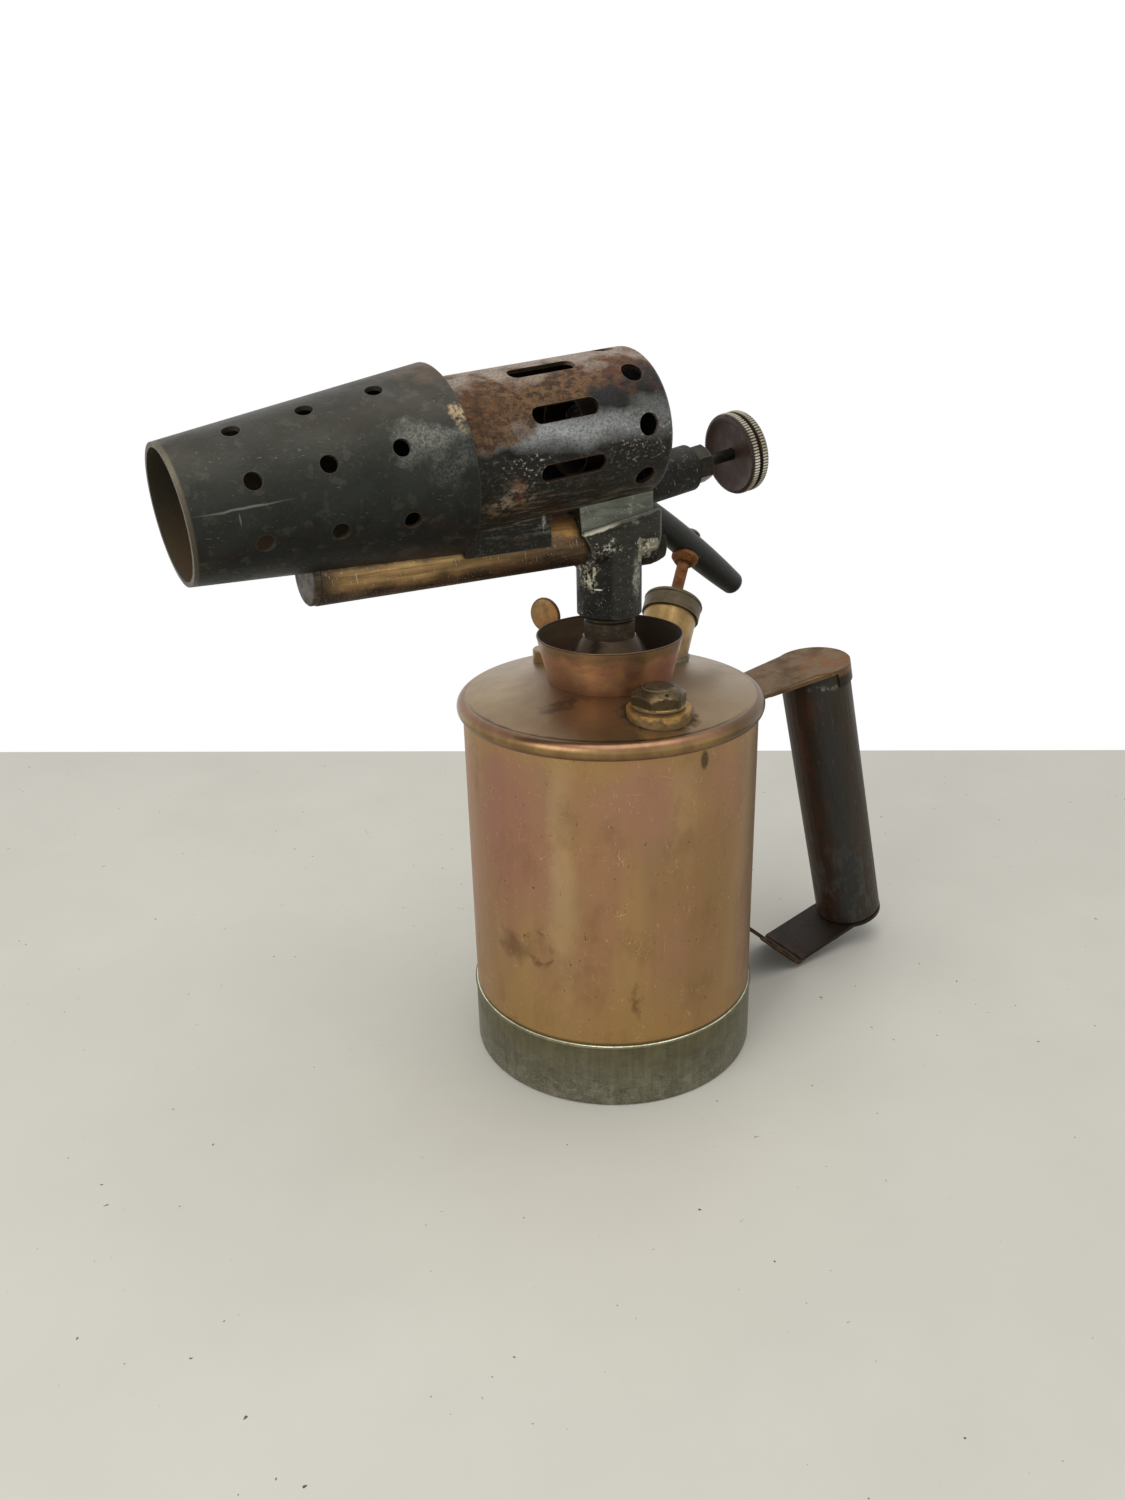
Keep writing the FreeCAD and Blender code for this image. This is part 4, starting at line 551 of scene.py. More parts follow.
@finish(0.45, 0.12)
def rusted_sheet_steel(at):
    """Rolled sheet steel round the flame: rust-brown on top and orange near the nozzle, a painted grey
    highlight band along its shoulder, a painted highlight along its top edge, a small blue-grey patch,
    sooty and flecked with pale scale below."""
    uneven = ragged(at, 9, 5)
    rust_foot = on_burner(30, 24, 11.5)
    top = rise(uneven, rust_foot, rust_foot + on_burner(1.4, -1.5, 4.5) - on_burner(0, 0, 0))
    streaky = patches(at, (16, 2.5, 2.5), 0.4, 0.62, 14, detail=5)
    # Shoulder and rear shoulder: painted highlight bands.
    shoulder = near(ragged(at, 14, 2.5), on_burner(34, 26.5, 6.5), (60, 14, 7.5), soft=1.0)
    rear_shoulder_highlight = near(ragged(at, 8, 2), on_burner(-4, 25, 9), (12, 12, 6), soft=1.0)
    below = rise(uneven, on_burner(0, 0, 2.5), on_burner(0, 0, -2.5))
    orange = near(uneven, on_burner(68, 18, 18), (17, 20, 15))
    rear_rust = near(uneven, on_burner(4, 18, 22), (16, 16, 10))
    lamp_black = patches(at, 9, 0.47, 0.6, 2)
    mottle = patches(at, (3.6, 2.6, 2.6), 0.46, 0.56, 3, detail=6)
    dark_mottle = patches(at, (6, 4, 4), 0.48, 0.57, 9, detail=6)
    pits = patches(at, 0.9, 0.5, 0.6, 4, detail=3)
    scale = patches(at, (3.2, 2.4, 1.6), 0.55, 0.62, 5, detail=6)
    flecks = patches(at, (1.6, 1.2, 1.0), 0.57, 0.63, 6, detail=6)
    rear_flecks = near(uneven, on_burner(2, 25, -2), (18, 20, 11))
    front_flecks = near(uneven, on_burner(47, 26, -4), (14, 12, 7))
    low_scale = near(uneven, on_burner(56, 24, -14), (10, 12, 8))
    foot_scale = near(uneven, on_burner(20, 18, -24), (64, 18, 12))
    foot_streak = patches(at, (14, 1.4, 1.4), 0.52, 0.6, 15, detail=5)
    smear = patches(at, (18, 3, 2.5), 0.5, 0.6, 16, detail=4)
    blue = near(uneven, on_burner(12, 22, 15), (10, 9, 4.5))
    inside = looks_in(at, BURNER_FOOT, BURNER_ALONG)
    # Ridge: painted highlight along the tube's top edge.
    ridge_highlight = rise(uneven, on_burner(0, 0, 22.5), on_burner(0, 0, 27))
    lip_end = near(ragged(at, 3, 1.5), (35.6, 12.5, 233.0), (1.2, 4, 4.5), soft=0.5)
    lip_streak = near(uneven, (47, 14, 235.0), (14, 7, 4))
    edges = worn_edges(at, 0.6)
    paint = (
        "#2B2925", ("#1C1B19", lamp_black, 0.7), ("#2B2924", below, 0.85), ("#A3A5A4", shoulder, 0.95),
        ("#6E6D69", shoulder, streaky, 0.5), ("#7C7D7A", rear_shoulder_highlight, 0.6), ("#694E36", top, 0.92),
        ("#2A2018", top, mottle, 0.75), ("#62432A", orange, 0.6), ("#35271C", orange, dark_mottle, 0.7),
        ("#5A3526", rear_rust, mottle, 0.6), ("#22262A", blue, 0.5), ("#A2968A", ridge_highlight, 0.6),
        ("#4A4740", scale, below, 0.6), ("#8F8D83", flecks, below, 0.2),
        ("#B4B2A6", rear_flecks, flecks, 0.8), ("#B9B7AB", front_flecks, flecks, 0.8),
        ("#9A8972", low_scale, mottle, 0.85), ("#6B3A28", low_scale, dark_mottle, 0.5),
        ("#8E8A7C", foot_scale, foot_streak, 0.6), ("#5A4028", foot_scale, smear, 0.5),
        ("#7E7A6E", lip_streak, foot_streak, 0.7), ("#A9A593", lip_end, 0.7), ("#171512", pits, 0.4),
        ("#15130F", inside, 0.9), ("#6E5138", edges, 0.6))
    rusty = laid(0.0, (1.0, top), (1.0, scale, below, 0.7))
    matt = (0.4, (0.62, rusty), (0.26, shoulder, 0.8), (0.8, inside))
    metal = (0.6, (0.95, shoulder), (0.15, rusty), (0.3, below, 0.5), (0.0, inside))
    return paint, matt, [(mottle, 0.05), (pits, 0.05), (scale, 0.08)], metal


@finish(0.6, 0.2)
def sooted_nozzle_steel(at):
    """Tapered sheet steel baked by the flame: olive-black, smooth and oily, with painted shade along its
    underside, a painted grey sheen speckled like scale near its back ring, painted light on its lower
    inside, rubbed scratches, and a bare brown edge at its mouth."""
    uneven = ragged(at, 12, 6)
    cloud = patches(at, (18, 14, 14), 0.42, 0.64, 1)
    upper = rise(uneven, on_burner(0, 20, 0), on_burner(0, 14, 22))
    # Lower side: painted shade.
    lower_shade = rise(uneven, on_burner(0, 0, -2), on_burner(0, 0, -14))
    # Grey patches: a painted sheen, speckled like scale.
    grey = near(uneven, on_burner(84, 28.5, 12), (21, 8, 7))
    grey_low_sheen = near(uneven, on_burner(78, 31, 4), (9, 8, 9))
    speckle = patches(at, 0.9, 0.42, 0.58, 3, detail=6)
    red = patches(at, (16, 8, 8), 0.52, 0.66, 4)
    fleck = near(ragged(at, 3, 1.2), on_burner(73.4, 27, 18.5), (2.8, 4.4, 5.0), soft=0.3)
    low_fleck = near(ragged(at, 3, 2.5), on_burner(73.0, 29.5, 12.5), (2.0, 3, 3.2), soft=0.4)
    crumbs = patches(at, 1.4, 0.4, 0.55, 5, detail=5)
    scratch = patches(ragged(at, 14, 4), (18, 0.4, 0.4), 0.72, 0.76, 6, detail=1)
    dots = patches(at, 1.2, 0.73, 0.77, 7, detail=2)
    here = about(at, BURNER_FOOT, BURNER_ALONG)
    long_scratch = near(ragged(here, 9, 0.4), (24.4, 2.4, 146), (3, 0.5, 19))
    cross_scratch = near(here, (24.4, -0.8, 148.5), (3, 2.4, 0.35), soft=0.5)
    hand_marks = patches(at, 5, 0.56, 0.62, 12, detail=6)
    # Painted light on the lower inside.
    low_inside_light = rise(uneven, on_burner(150, 0, 4), on_burner(150, 0, -14))
    inside = looks_in(at, BURNER_FOOT, BURNER_ALONG)
    mouth = rise(at, on_burner(162.2, 0, 0), on_burner(162.9, 0, 0))
    edges = worn_edges(at, 0.6)
    brown_top = near(uneven, on_burner(78, 4, 33), (14, 20, 6))
    paint = (
        "#2F312D", ("#232521", cloud, 0.75), ("#38332A", upper, 0.55), ("#191B1B", lower_shade, 0.85),
        ("#33251E", red, lower_shade, 0.6), ("#4A493F", hand_marks, 0.35), ("#5A5A54", grey, 0.6),
        ("#85847C", grey, speckle, 0.5), ("#63625C", grey_low_sheen, speckle, 0.6), ("#5C4938", brown_top, 0.6),
        ("#A08D6E", fleck, crumbs), ("#83765C", low_fleck, crumbs, 0.8), ("#8A8779", scratch, 0.35),
        ("#8A8474", dots, 0.5), ("#8C8B82", long_scratch, 0.5), ("#7C7B72", cross_scratch, 0.5),
        ("#433D31", inside, 0.92), ("#5A4630", inside, low_inside_light, 0.6), ("#5C5546", mouth, 0.85),
        ("#5E574A", edges, 0.4))
    matt = (0.44, (0.55, cloud), (0.62, grey, 0.8), (0.85, inside), (0.8, fleck, crumbs))
    metal = (0.55, (0.3, inside), (0.0, fleck, crumbs), (0.5, grey), (0.9, mouth))
    return paint, matt, [(speckle, 0.03), (cloud, 0.12)], metal


# ---------------- valve

@finish(0.75, 0.25)
def oily_valve_steel(at):
    """Turned and milled steel, oily and rust-browned, with rubbed corners."""
    here = about(at, WHEEL_HUB, WHEEL_ALONG)
    rings = turning_lines(here, 0.5, 1)
    cloud = patches(at, 3, 0.42, 0.66, 2)
    rust = patches(at, 4, 0.52, 0.68, 3)
    edges = worn_edges(at, 0.4)
    paint = ("#2E2C26", ("#1D1B18", cloud, 0.8), ("#45352A", rust, 0.6), ("#7C776A", edges, 0.5))
    return paint, (0.36, (0.6, rust)), [(rings, 0.02)]


@finish(0, 0.35)
def brown_bakelite(at):
    """Moulded bakelite, dark red-brown and dulled by handling, its knurling worn to the pale filler, with
    a painted highlight on the teeth at the front.
    """
    here = about(at, WHEEL_HUB, WHEEL_ALONG)
    cloud = patches(at, 6, 0.42, 0.64, 1)
    flour = patches(at, 0.5, 0.42, 0.66, 2, detail=2)
    rubbed = patches(at, (2, 9, 9), 0.46, 0.6, 3)
    crest = out_from_axis(here, 15.8, 16.05)
    rim = out_from_axis(here, 14.6, 15.6)
    # Lit: painted highlight on the front teeth.
    lit = near(at, (-60, 14.5, 244), (9, 6, 6.5))
    grime = patches(at, 4, 0.46, 0.62, 5)
    paint = (
        "#3A261E", ("#2A1B16", cloud, 0.7), ("#4A3228", flour, 0.4), ("#2E2820", rim, 0.8),
        ("#1C1712", rim, grime, 0.7), ("#A39A84", crest, 0.8), ("#BDB4A0", crest, rubbed, 0.6),
        ("#DAD5C6", crest, lit, 0.9))
    matt = (0.42, (0.56, cloud), (0.7, rim, grime))
    return paint, matt, [(flour, 0.01)]


# ---------------- pump

@finish(0.9)
def drawn_pump_brass(at):
    """Drawn brass tube, golden-brown: fine lines along it, handled bright in places, brown in others."""
    here = about(at, PUMP_MOUTH, PUMP_ALONG)
    drawn = patches(here, (0.5, 0.5, 30), 0.35, 0.7, 1)
    cloud = patches(at, 9, 0.44, 0.66, 2)
    bright = patches(here, (5, 5, 26), 0.48, 0.64, 3)
    low = rise(here, 12, 4)
    speck = patches(at, 1.3, 0.68, 0.76, 5, detail=2)
    paint = (
        "#92774B", ("#A48A5C", bright, 0.6), ("#725B3C", cloud, 0.6), ("#5E4930", low, 0.5),
        ("#4A3826", speck, 0.6))
    return paint, (0.34, (0.5, cloud)), [(drawn, 0.015)]


@finish(0.8)
def dulled_cap_brass(at):
    """Spun brass cap gone grey-olive with handling, dark in its groove."""
    here = about(at, PUMP_MOUTH, PUMP_ALONG)
    rings = turning_lines(here, 0.4, 1)
    cloud = patches(at, 5, 0.42, 0.66, 2)
    edges = worn_edges(at, 0.4)
    paint = ("#544A37", ("#3E3728", cloud, 0.7), ("#6A5D43", rings, 0.35), ("#8B7A56", edges, 0.5))
    return paint, (0.38, (0.55, cloud)), [(rings, 0.02)]


@finish(0.15, 0.15)
def rusted_rod_steel(at):
    """Bright steel rod rusted orange-brown, pitted, with darker scabs."""
    scab = patches(at, 4, 0.46, 0.64, 1)
    orange = patches(at, 2, 0.44, 0.62, 2, detail=5)
    pits = patches(at, 0.7, 0.48, 0.66, 3, detail=3)
    grey = patches(at, 3, 0.56, 0.7, 4)
    paint = (
        "#7A4E2C", ("#9C6230", orange, 0.7), ("#4A2F1D", scab, 0.7), ("#93835F", grey, 0.35),
        ("#33231A", pits, 0.4))
    return paint, (0.6, (0.8, scab)), [(pits, 0.08), (scab, 0.1)]


@finish(0, 0.3, coat=0.06)
def ebonised_handle_beech(at):
    """Turned beech, stained black: a grey-green sheen of old wax, brown where the stain has worn."""
    grain = patches(about(at, PUMP_MOUTH, HANDLE_ALONG), (1.0, 1.0, 14), 0.35, 0.7, 1)
    wax = patches(at, 12, 0.42, 0.64, 2)
    worn = patches(at, 9, 0.56, 0.68, 3)
    edges = worn_edges(at, 0.8)
    nick = patches(at, 1.6, 0.7, 0.76, 5, detail=2)
    paint = (
        "#191A16", ("#262721", wax, 0.7), ("#100F0D", grain, 0.5), ("#33281E", worn, 0.5),
        ("#4A463B", edges, 0.35), ("#6E6858", nick, 0.5))
    return paint, (0.42, (0.55, grain)), [(grain, 0.03)]


@finish(0.9)
def machined_brass(at):
    """Turned brass fittings: yellow-brown with tool lines and darker grease in the corners."""
    rings = turning_lines(at, 0.4, 1)
    cloud = patches(at, 3, 0.44, 0.66, 2)
    edges = worn_edges(at, 0.3)
    paint = ("#8A7146", ("#655233", cloud, 0.7), ("#B59B68", edges, 0.5))
    return paint, (0.35, (0.5, cloud)), [(rings, 0.015)]


@finish(0)
def oiled_leather(at):
    """Cup leather soaked in oil: near black, with pores and fine creases."""
    pores = add(at, "TexVoronoi", {"Vector": at, "Scale": 1000 / 0.9}).outputs["Distance"]
    crease = patches(at, (3, 3, 0.8), 0.42, 0.66, 2)
    paint = ("#3A281B", ("#241811", crease, 0.7), ("#4E3826", pores, 0.3))
    return paint, (0.45, (0.6, crease)), [(pores, 0.08)]


@finish(0, 0.3)
def moulded_rubber(at):
    """Moulded nitrile rubber: black, matt, dusted grey."""
    dust = patches(at, 2, 0.46, 0.7, 1)
    paint = ("#1E1E1E", ("#33322F", dust, 0.7))
    return paint, (0.7, (0.85, dust)), [(dust, 0.02)]


@finish(1)
def drawn_spring_wire(at):
    """Hard-drawn steel wire: bright grey with lines along the wire and brown specks."""
    stain = patches(at, 1.5, 0.54, 0.68, 1)
    paint = ("#8C8A84", ("#5E4A38", stain, 0.6))
    return paint, (0.3, (0.55, stain)), [(stain, 0.01)]


@finish(0.8)
def woven_wire_gauze(at):
    """Brass gauze: wires over and under each other, half a millimetre apart, with gum in the mesh."""
    wires = {"Vector": at, "Scale": 1000 / 0.5 / 20}
    warp = add(at, "TexWave", wires, bands_direction="DIAGONAL").outputs["Fac"]
    weft = add(at, "TexWave", wires, bands_direction="Z").outputs["Fac"]
    gum = patches(at, 3, 0.48, 0.66, 1)
    paint = ("#4A3D26", ("#9B8350", warp, 0.6), ("#8C7445", weft, 0.5), ("#2A2118", gum, 0.6))
    return paint, (0.4, (0.6, gum)), [(warp, 0.1), (weft, 0.1)]


@finish(0.1, 0.3)
def graphited_packing(at):
    """Plaited cord rubbed with graphite: dark grey fibres with a soft shine."""
    strands = patches(at, (1.4, 0.5, 0.5), 0.38, 0.66, 1)
    paint = ("#2C2D2E", ("#4C4D4F", strands, 0.6))
    return paint, (0.5, (0.7, strands)), [(strands, 0.1)]


# ---------------- filler and air screw

@finish(0.85)
def browned_filler_brass(at):
    """Turned brass plug, olive-brown with old fuel, its corners rubbed bright, and its vent hole painted
    black as shade.
    """
    here = about(at, FILLER_FOOT, UPRIGHT)
    rings = turning_lines(here, 0.45, 1)
    cloud = patches(at, 4, 0.42, 0.64, 2)
    soot = patches(at, 2.4, 0.5, 0.66, 3, detail=5)
    edges = worn_edges(at, 0.45)
    flange = rise(at, 166.6, 166.1)
    # Vent hole: painted black as shade, with no hole in the shape.
    vent_hole_shade = near(at, (6.9, 49.1, 171.3), (0.9, 0.9, 3), soft=0.4)
    paint = (
        "#55452D", ("#3A3020", cloud, 0.75), ("#241D13", soot, 0.6), ("#A8946C", edges, 0.7),
        ("#A38A58", flange, 0.5), ("#0D0A07", vent_hole_shade))
    matt = (0.32, (0.5, cloud), (0.65, soot, 0.6))
    return paint, matt, [(rings, 0.015), (soot, 0.02)]


@finish(0.85)
def soldered_boss_brass(at):
    """Brass boss soft-soldered to the dome: orange-gold, with grey solder and brown flux at its foot."""
    here = about(at, FILLER_FOOT, UPRIGHT)
    rings = turning_lines(here, 0.45, 1)
    cloud = patches(at, (4, 4, 2.5), 0.42, 0.62, 2)
    solder = rise(ragged(at, 4, 2), 163.4, 162.4)
    grime = patches(at, (3, 3, 1.6), 0.48, 0.62, 4)
    paint = ("#C39D60", ("#8E6A40", cloud, 0.6), ("#645845", solder, 0.7), ("#42341F", grime, solder, 0.4))
    return paint, (0.36, (0.55, solder)), [(rings, 0.015), (grime, 0.04)]


@finish(0.9)
def fingered_head_brass(at):
    """Brass disc turned by finger and thumb: gold-orange clouds on its faces and a dark greasy rim."""
    cloud = patches(at, 4, 0.4, 0.62, 1, detail=5)
    orange = patches(at, 6, 0.46, 0.62, 2)
    pits = patches(at, 0.9, 0.56, 0.7, 3, detail=3)
    rim = out_from_axis(about(at, COIN_MIDDLE, COIN_FACING), 6.7, 7.2)
    coin = rise(at, 173.6, 174.2)
    paint = (
        "#A08158", ("#80603E", cloud, 0.7), ("#AE7C4A", orange, 0.6), ("#5A432C", pits, 0.6),
        ("#33281C", rim, coin, 0.85))
    return paint, (0.4, (0.55, cloud)), [(pits, 0.03)]


# ---------------- handle

@finish(0.35, 0.2)
def rusted_strap_steel(at):
    """Strip steel, folded and rusted: brown and even on top, orange at the bend, black where it is oily."""
    cloud = patches(at, 9, 0.42, 0.64, 1)
    rolled = patches(at, (26, 1.2, 26), 0.38, 0.68, 2)
    orange = near(ragged(at, 7, 4), (-108, 8, 158), (22, 20, 16))
    pits = patches(at, 1.0, 0.52, 0.66, 4, detail=4)
    oily = rise(ragged(at, 14, 6), 110, 70)
    rub = patches(at, 6, 0.56, 0.7, 6)
    edges = worn_edges(at, 0.5)
    cap_top, cap_up = Vector(STRAP_END), Vector((0.132, 0, 0.991))
    under_cap = rise(at, cap_top - cap_up * 2.6, cap_top - cap_up * 4.0)
    behind = rise(at, (-96, 0, 0), (-104, 0, 0))
    foot_rust = patches(at, 7, 0.44, 0.58, 8, detail=5)
    paint = (
        "#634A2D", ("#402F1D", cloud, 0.75), ("#735B3B", rolled, 0.45), ("#85522A", orange, cloud, 0.8),
        ("#1E150C", oily, 0.92), ("#4E371F", oily, foot_rust, 0.9), ("#57503F", oily, rub, 0.35),
        ("#2A1F15", pits, 0.4), ("#8F7B60", edges, 0.45), ("#211912", under_cap, behind, 0.9))
    matt = (0.46, (0.65, cloud), (0.4, oily, 0.5))
    return paint, matt, [(pits, 0.04), (rolled, 0.02)]


def across_grip(start, end):
    """Two points beside the grip's axis, in mm from it towards the tank on the near side."""
    toward = (Vector((0.5, -0.35, 0)) - Vector(GRIP_ALONG) * 0.5 * GRIP_ALONG[0]).normalized()
    return Vector(GRIP_FOOT) + toward * start, Vector(GRIP_FOOT) + toward * end


@finish(0, 0.22, coat=0.06)
def stained_grip_beech(at):
    """Turned beech grip, stained nearly black and varnished: red-brown wood shows where hands and knocks
    have worn it, laid more on its lit side towards the tank as painted light, a painted blue-grey sheen
    band runs down it, and the grain runs along it."""
    here = about(at, GRIP_FOOT, GRIP_ALONG)
    grain = patches(here, (0.9, 0.9, 22), 0.38, 0.66, 1, detail=5)
    flame = patches(here, (7, 7, 60), 0.44, 0.62, 2)
    red = patches(here, (8, 8, 26), 0.46, 0.62, 3)
    # Tank side: worn red-brown wood, laid on the lit side as painted light.
    lit_tank_side = rise(ragged(at, 14, 6), *across_grip(2, 9))
    # Sheen: a painted blue-grey sheen band.
    sheen = laid(0.0, (1.0, rise(ragged(at, 20, 3), *across_grip(8, 2))))
    sheen = laid(sheen, (0.0, rise(ragged(at, 20, 3), *across_grip(-3, -9))))
    scrape = patches(here, (1.6, 1.6, 5), 0.66, 0.74, 5, detail=3)
    rub = patches(here, (5, 5, 10), 0.5, 0.62, 6, detail=5)
    low = rise(at, 70, 45)
    dusty = near(ragged(at, 5, 2), (-103, 14, 142.5), (12, 8, 2.2))
    edges = worn_edges(at, 1.0)
    paint = (
        "#33291D", ("#3D3023", flame, 0.6), ("#43291B", lit_tank_side, 0.5), ("#50301F", lit_tank_side, red, 0.7),
        ("#2D3132", sheen, 0.55), ("#15110D", grain, 0.4), ("#5A3524", lit_tank_side, rub, 0.35),
        ("#3F4543", low, rub, 0.6), ("#7A6A55", scrape, 0.4), ("#8C8370", dusty, rub, 0.8),
        ("#4A3A2A", edges, 0.5))
    matt = (0.44, (0.6, grain), (0.34, sheen, 0.7))
    return paint, matt, [(grain, 0.04), (scrape, 0.05)]


# ---------------- pieces

def keep(name, bm, slot, body, material, *stands_for):
    """Makes a smooth-shaded piece from a bmesh, on its body and in its finish."""
    bmesh.ops.recalc_face_normals(bm, faces=bm.faces)
    mesh = bpy.data.meshes.new(name)
    bm.to_mesh(mesh)
    bm.free()
    piece = put(name, mesh)
    for face in mesh.polygons:
        face.use_smooth = True
    mesh.set_sharp_from_angle(angle=math.radians(38))
    mesh.materials.append(material)
    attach(piece, body)
    if stands_for:
        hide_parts(*stands_for)
    return piece


def stood(foot, axis):
    """The frame at foot, in mm, with its Z along axis."""
    return Matrix.Translation(metres(foot)) @ Vector(axis).to_track_quat("Z", "Y").to_matrix().to_4x4()


def skin(bm, rings):
    """Faces from each ring of points to the next."""
    for before, after in zip(rings, rings[1:]):
        for k in range(len(before)):
            beyond = (k + 1) % len(before)
            bm.faces.new((before[k], after[k], after[beyond], before[beyond]))


def ring_of(bm, profile, steps, frame_at, swell=lambda i, k: 0.0):
    """Turns a closed profile of (radius, height) about Z. swell(i, k) moves a point out, in mm."""
    rings = []
    for i in range(steps):
        turn = 2 * math.pi * i / steps
        ring = []
        for k, (radius, height) in enumerate(profile):
            out = radius + swell(i, k)
            point = (out * math.cos(turn), out * math.sin(turn), height)
            ring.append(bm.verts.new(frame_at @ metres(point)))
        rings.append(ring)
    skin(bm, rings + rings[:1])


def solder_seam(material):
    """Bead of solder wiped along the top edge of the base cup, thicker in some places than in others."""
    outline = [(0.02, 0.25), (0.25, 0.2), (0.45, 0.05), (0.45, -0.15), (0.02, -0.15)]
    profile = [(TANK_RADIUS + out, BASE_TOP + up) for out, up in outline]

    def swell(i, k):
        return 0.06 * noise.noise(Vector((i * 0.11, k * 0.4, 0))) if 0 < k < 4 else 0.0

    bm = bmesh.new()
    ring_of(bm, profile, 360, Matrix.Identity(4), swell)
    keep("solder_seam", bm, "base_zinc", "lamp", material)


def knurled_wheel(material):
    """Valve wheel with two rounded rims, straight knurling round each and a groove between them. Real
    knurling has about 120 teeth, too fine to show, so there are fewer."""
    teeth, steps_each, depth = 84, 6, 0.6
    outer, half, hub = 16.15, 4.1, 2.45
    rim = [(outer - 1.6, 0.65), (outer - 0.45, 0.75), (outer - 0.05, 1.0), (outer, half - 2.2),
           (outer - 0.05, half - 1.2), (outer - 0.45, half - 0.5), (outer - 1.5, half)]
    rims = [(radius, -height) for radius, height in reversed(rim)] + rim
    front = [(outer - 2.6, half - 0.12), (outer - 4.0, half - 0.5), (8.0, half - 0.55), (6.2, half - 0.3),
             (5.4, half - 0.25), (hub, half - 0.3)]
    back = [(hub, -half + 1.6), (6.0, -half + 1.8), (9.0, -half + 1.9), (outer - 3.4, -half + 1.2),
            (outer - 2.4, -half + 0.25)]
    cut = [0, 0.55, 1, 1, 1, 0.5, 0, 0, 0.5, 1, 1, 1, 0.55, 0]

    def swell(i, k):
        if k >= len(cut):
            return 0.0
        crest = abs((i % steps_each) / steps_each - 0.5) * 2
        worn = 0.75 + 0.25 * noise.noise(Vector((i * 0.02, k * 0.3, 4)))
        return -depth * cut[k] * max(0.0, 1 - 1.5 * crest) * worn

    bm = bmesh.new()
    ring_of(bm, rims + front + back, teeth * steps_each, stood(WHEEL_HUB, WHEEL_ALONG), swell)
    keep("knurled_wheel", bm, "wheel_bakelite", "handwheel", material, "handwheel")


def domed_filler_plug(material):
    """Filler plug: threaded shank, thin flange, hexagon with worn corners under a turned crown, and a
    dished disc on top."""
    foot, seat, flange, shoulder, step, top = 156.65, 165.15, 166.15, 169.35, 172.2, 172.8
    corner, worn_corner, half_flats, crown = 10.9, 10.6, 9.5, 6.4
    face_turn, pitch, thread_depth, steps = math.radians(71), 1.5, 0.35, 240
    rows = [(0.01, foot), (6.6, foot), (7.3, foot + 0.5)]
    first_thread = len(rows)
    rows += [(7.5, foot + 0.6 + 0.25 * k) for k in range(31)]
    last_thread = len(rows)
    rows += [(7.3, seat), (10.1, seat), (10.3, seat + 0.2), (10.3, flange - 0.2), (10.1, flange)]
    first_flat = len(rows)
    rows += [(corner, flange + 0.01), (corner, shoulder - 1.0), (corner, shoulder)]
    for k in range(1, 9):
        share = k / 8
        bulge = 1.35 * share - 0.35 * share ** 2
        rows.append((corner + (crown - corner) * share, shoulder + (step - shoulder) * bulge))
    last_flat = len(rows)
    rows += [(6.2, step + 0.05), (6.15, top - 0.2), (5.8, top), (4.8, top), (2.5, top - 0.35),
             (0.01, top - 0.5)]

    def swell(i, k):
        turn = 2 * math.pi * i / steps
        if first_thread <= k < last_thread:
            wave = (rows[k][1] / pitch + turn / (2 * math.pi)) % 1
            return -2 * thread_depth * abs(wave - 0.5)
        if first_flat <= k < last_flat:
            off = (turn - face_turn + math.pi / 6) % (math.pi / 3) - math.pi / 6
            return min(0.0, min(half_flats / math.cos(off), worn_corner) - rows[k][0])
        return 0.0

    bm = bmesh.new()
    ring_of(bm, rows, steps, Matrix.Translation(metres((*FILLER_FOOT[:2], 0))), swell)
    keep("domed_filler_plug", bm, "filler_brass", "filler_plug", material, "filler_plug")


def jet_guard(material):
    """Thin steel cup round the jet's boss that keeps draughts from the flame's root."""
    bm = bmesh.new()
    profile = [(9.82, 2.0), (15.0, 2.0), (15.8, 2.8), (15.8, 18.5), (15.0, 18.5), (15.0, 3.2), (9.82, 3.2)]
    ring_of(bm, profile, 96, stood(BURNER_FOOT, BURNER_ALONG))
    keep("jet_guard", bm, "riser_steel", "lamp", material)


def thumb_coin(material):
    """Air screw's head: a coin with rounded edges, upright on a tapered neck with a pin below."""
    neck = [(0.01, 165.1), (1.25, 165.1), (1.25, 169.65), (2.6, 169.65), (2.6, 172.4), (1.6, 174.4),
            (0.01, 174.4)]
    coin = [(0.01, -0.85), (6.9, -0.85), (7.35, -0.65), (7.5, -0.25), (7.5, 0.25), (7.35, 0.65), (6.9, 0.85),
            (0.01, 0.85)]
    bm = bmesh.new()
    ring_of(bm, neck, 48, Matrix.Translation(metres((*COIN_MIDDLE[:2], 0))))
    ring_of(bm, coin, 96, stood(COIN_MIDDLE, COIN_FACING))
    keep("thumb_coin", bm, "filler_brass", "air_head", material, "air_screw_head")


def check_spring(material):
    """Coil spring under the pump's check pellet."""
    wire, radius, turns, sides, steps = 0.35, 3.4, 4, 10, 120
    low, high, lift = -108.40, -103.35, 1.5
    place = stood(PUMP_MOUTH, PUMP_ALONG)
    bm = bmesh.new()
    rings = []
    for i in range(steps + 1):
        angle = 2 * math.pi * turns * i / steps
        out = Vector((math.cos(angle), math.sin(angle), 0))
        middle = out * radius + Vector((0, 0, low + (high - low) * i / steps))
        ring = []
        for k in range(sides):
            around = 2 * math.pi * k / sides
            edge = (out * math.cos(around) + Vector(UPRIGHT) * math.sin(around)) * wire
            ring.append(bm.verts.new(place @ metres(middle + edge)))
        rings.append(ring)
    skin(bm, rings)
    bm.faces.new(rings[0])
    bm.faces.new(rings[-1])
    piece = keep("check_spring", bm, "spring_steel", "lamp", material, "check_valve_spring")
    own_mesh(piece)


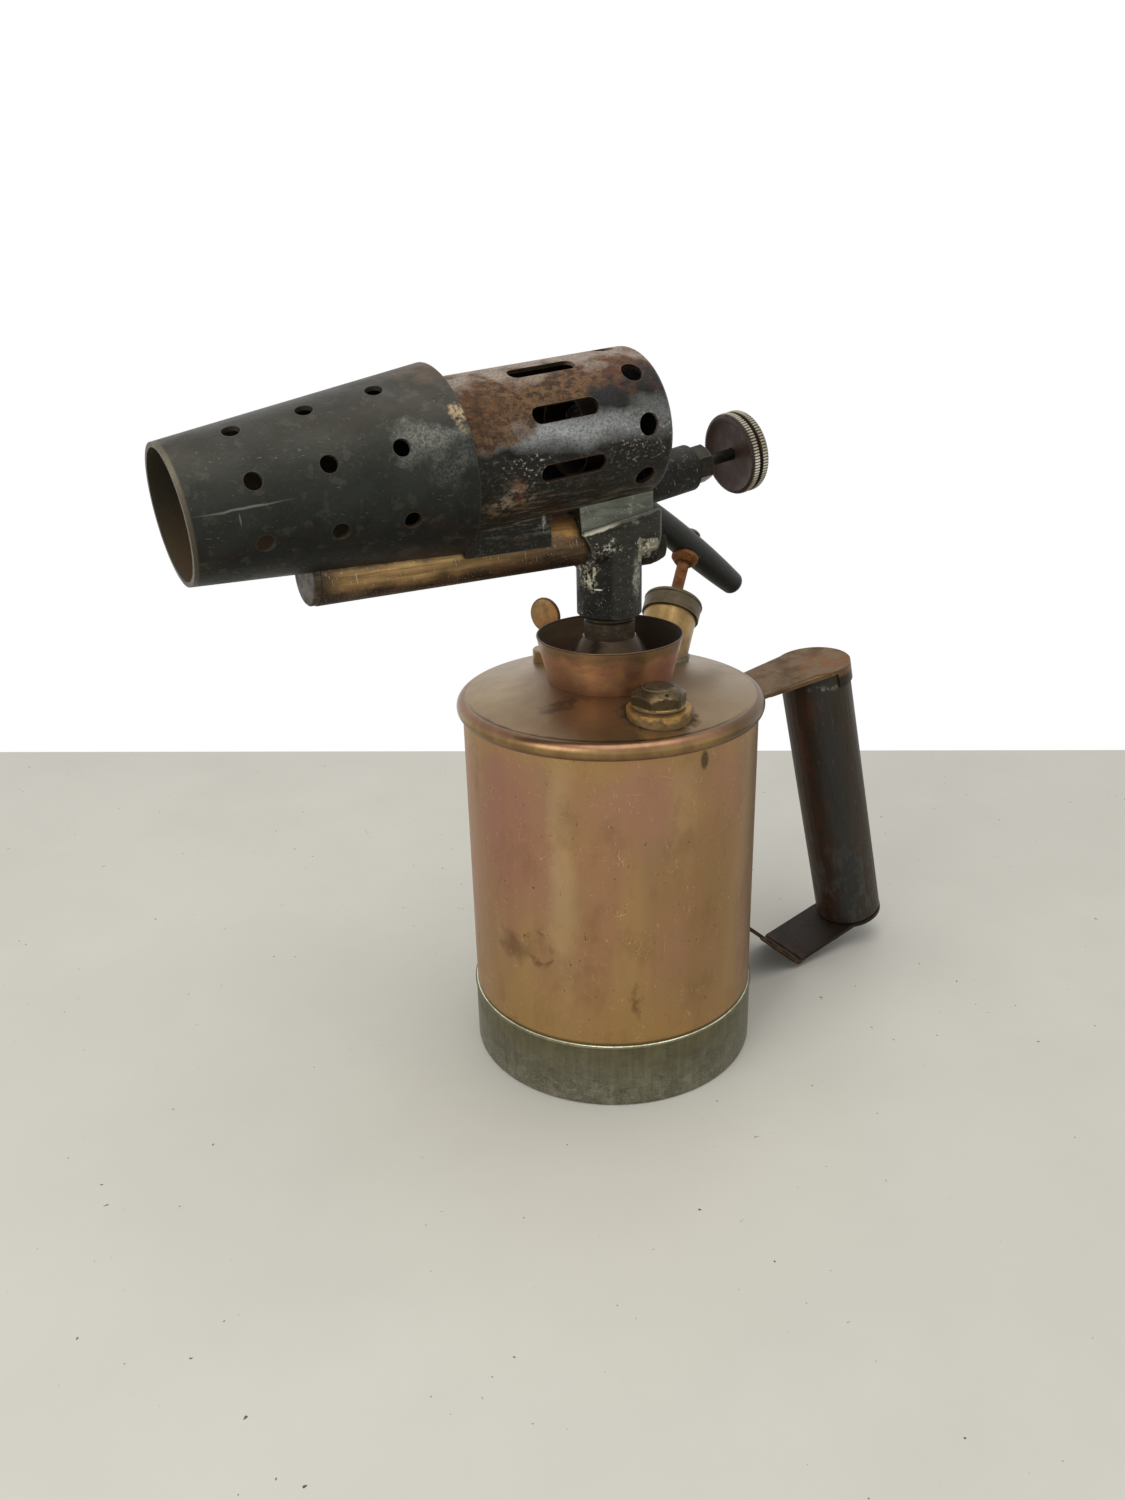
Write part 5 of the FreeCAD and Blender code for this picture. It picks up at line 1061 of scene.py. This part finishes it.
def strap_shoulders(material):
    """Thin webs that widen the top strap smoothly into its round end, one on each edge."""
    half_strap, cap, reach, thickness, slope = 13.28, 16.5, 36.0, 1.78, math.radians(7.6)
    cap_middle = Vector((-109.06, 0, 150.85))
    along, down = (math.cos(slope), 0, -math.sin(slope)), (math.sin(slope), 0, math.cos(slope))
    away = math.atan2(half_strap, reach) + math.acos(cap / math.hypot(half_strap, reach))
    corner = math.asin(half_strap / cap)
    arc = [away + (corner - away) * k / 10 for k in range(11)]
    outline = [(reach, half_strap)] + [(cap * math.cos(a), cap * math.sin(a)) for a in arc]
    bm = bmesh.new()
    for side in (-1, 1):
        faces = []
        for depth in (0.01, thickness):
            corners = []
            for out, across in outline:
                point = cap_middle + Vector(along) * out - Vector(down) * depth
                point.y = side * across
                corners.append(bm.verts.new(metres(point)))
            faces.append(corners)
            bm.faces.new(corners)
        skin(bm, faces)
    keep("strap_shoulders", bm, "strap_rust", "lamp", material)


# ---------------- the lamp, dressed

set_camera()
set_bench()
set_light()

slot_finish = {
    "tank_brass": aged_tank_brass(), "base_zinc": dull_galvanised_steel(),
    "cup_copper": heat_browned_copper(), "riser_steel": oil_blacked_steel(),
    "casting_iron": sooted_bronze_casting(), "flame_steel": rusted_sheet_steel(),
    "vaporiser_bronze": heat_browned_bronze(), "gauze": woven_wire_gauze(),
    "valve_steel": oily_valve_steel(), "packing": graphited_packing(), "wheel_bakelite": brown_bakelite(),
    "pump_brass": machined_brass(), "cap_brass": dulled_cap_brass(), "rod_rust": rusted_rod_steel(),
    "leather": oiled_leather(), "handle_wood": ebonised_handle_beech(), "pellet_rubber": moulded_rubber(),
    "spring_steel": drawn_spring_wire(), "filler_brass": browned_filler_brass(),
    "gasket_leather": oiled_leather(), "strap_rust": rusted_strap_steel(),
    "grip_wood": stained_grip_beech(),
}
own_finish = {
    "tank_dome": brushed_dome_brass(), "nozzle": sooted_nozzle_steel(), "pump_barrel": drawn_pump_brass(),
    "filler_boss": soldered_boss_brass(), "air_screw_boss": brushed_dome_brass(),
    "handle_rivet": dulled_cap_brass(), "air_screw_head": fingered_head_brass(),
}
for part in frame["record"]["subparts"]:
    name = part["node"]
    nodes[name].data.materials.clear()
    nodes[name].data.materials.append(own_finish.get(name) or slot_finish[part["material_slot"]])

solder_seam(tin_solder())
jet_guard(slot_finish["riser_steel"])
knurled_wheel(slot_finish["wheel_bakelite"])
domed_filler_plug(slot_finish["filler_brass"])
thumb_coin(own_finish["air_screw_head"])
strap_shoulders(slot_finish["strap_rust"])
check_spring(slot_finish["spring_steel"])
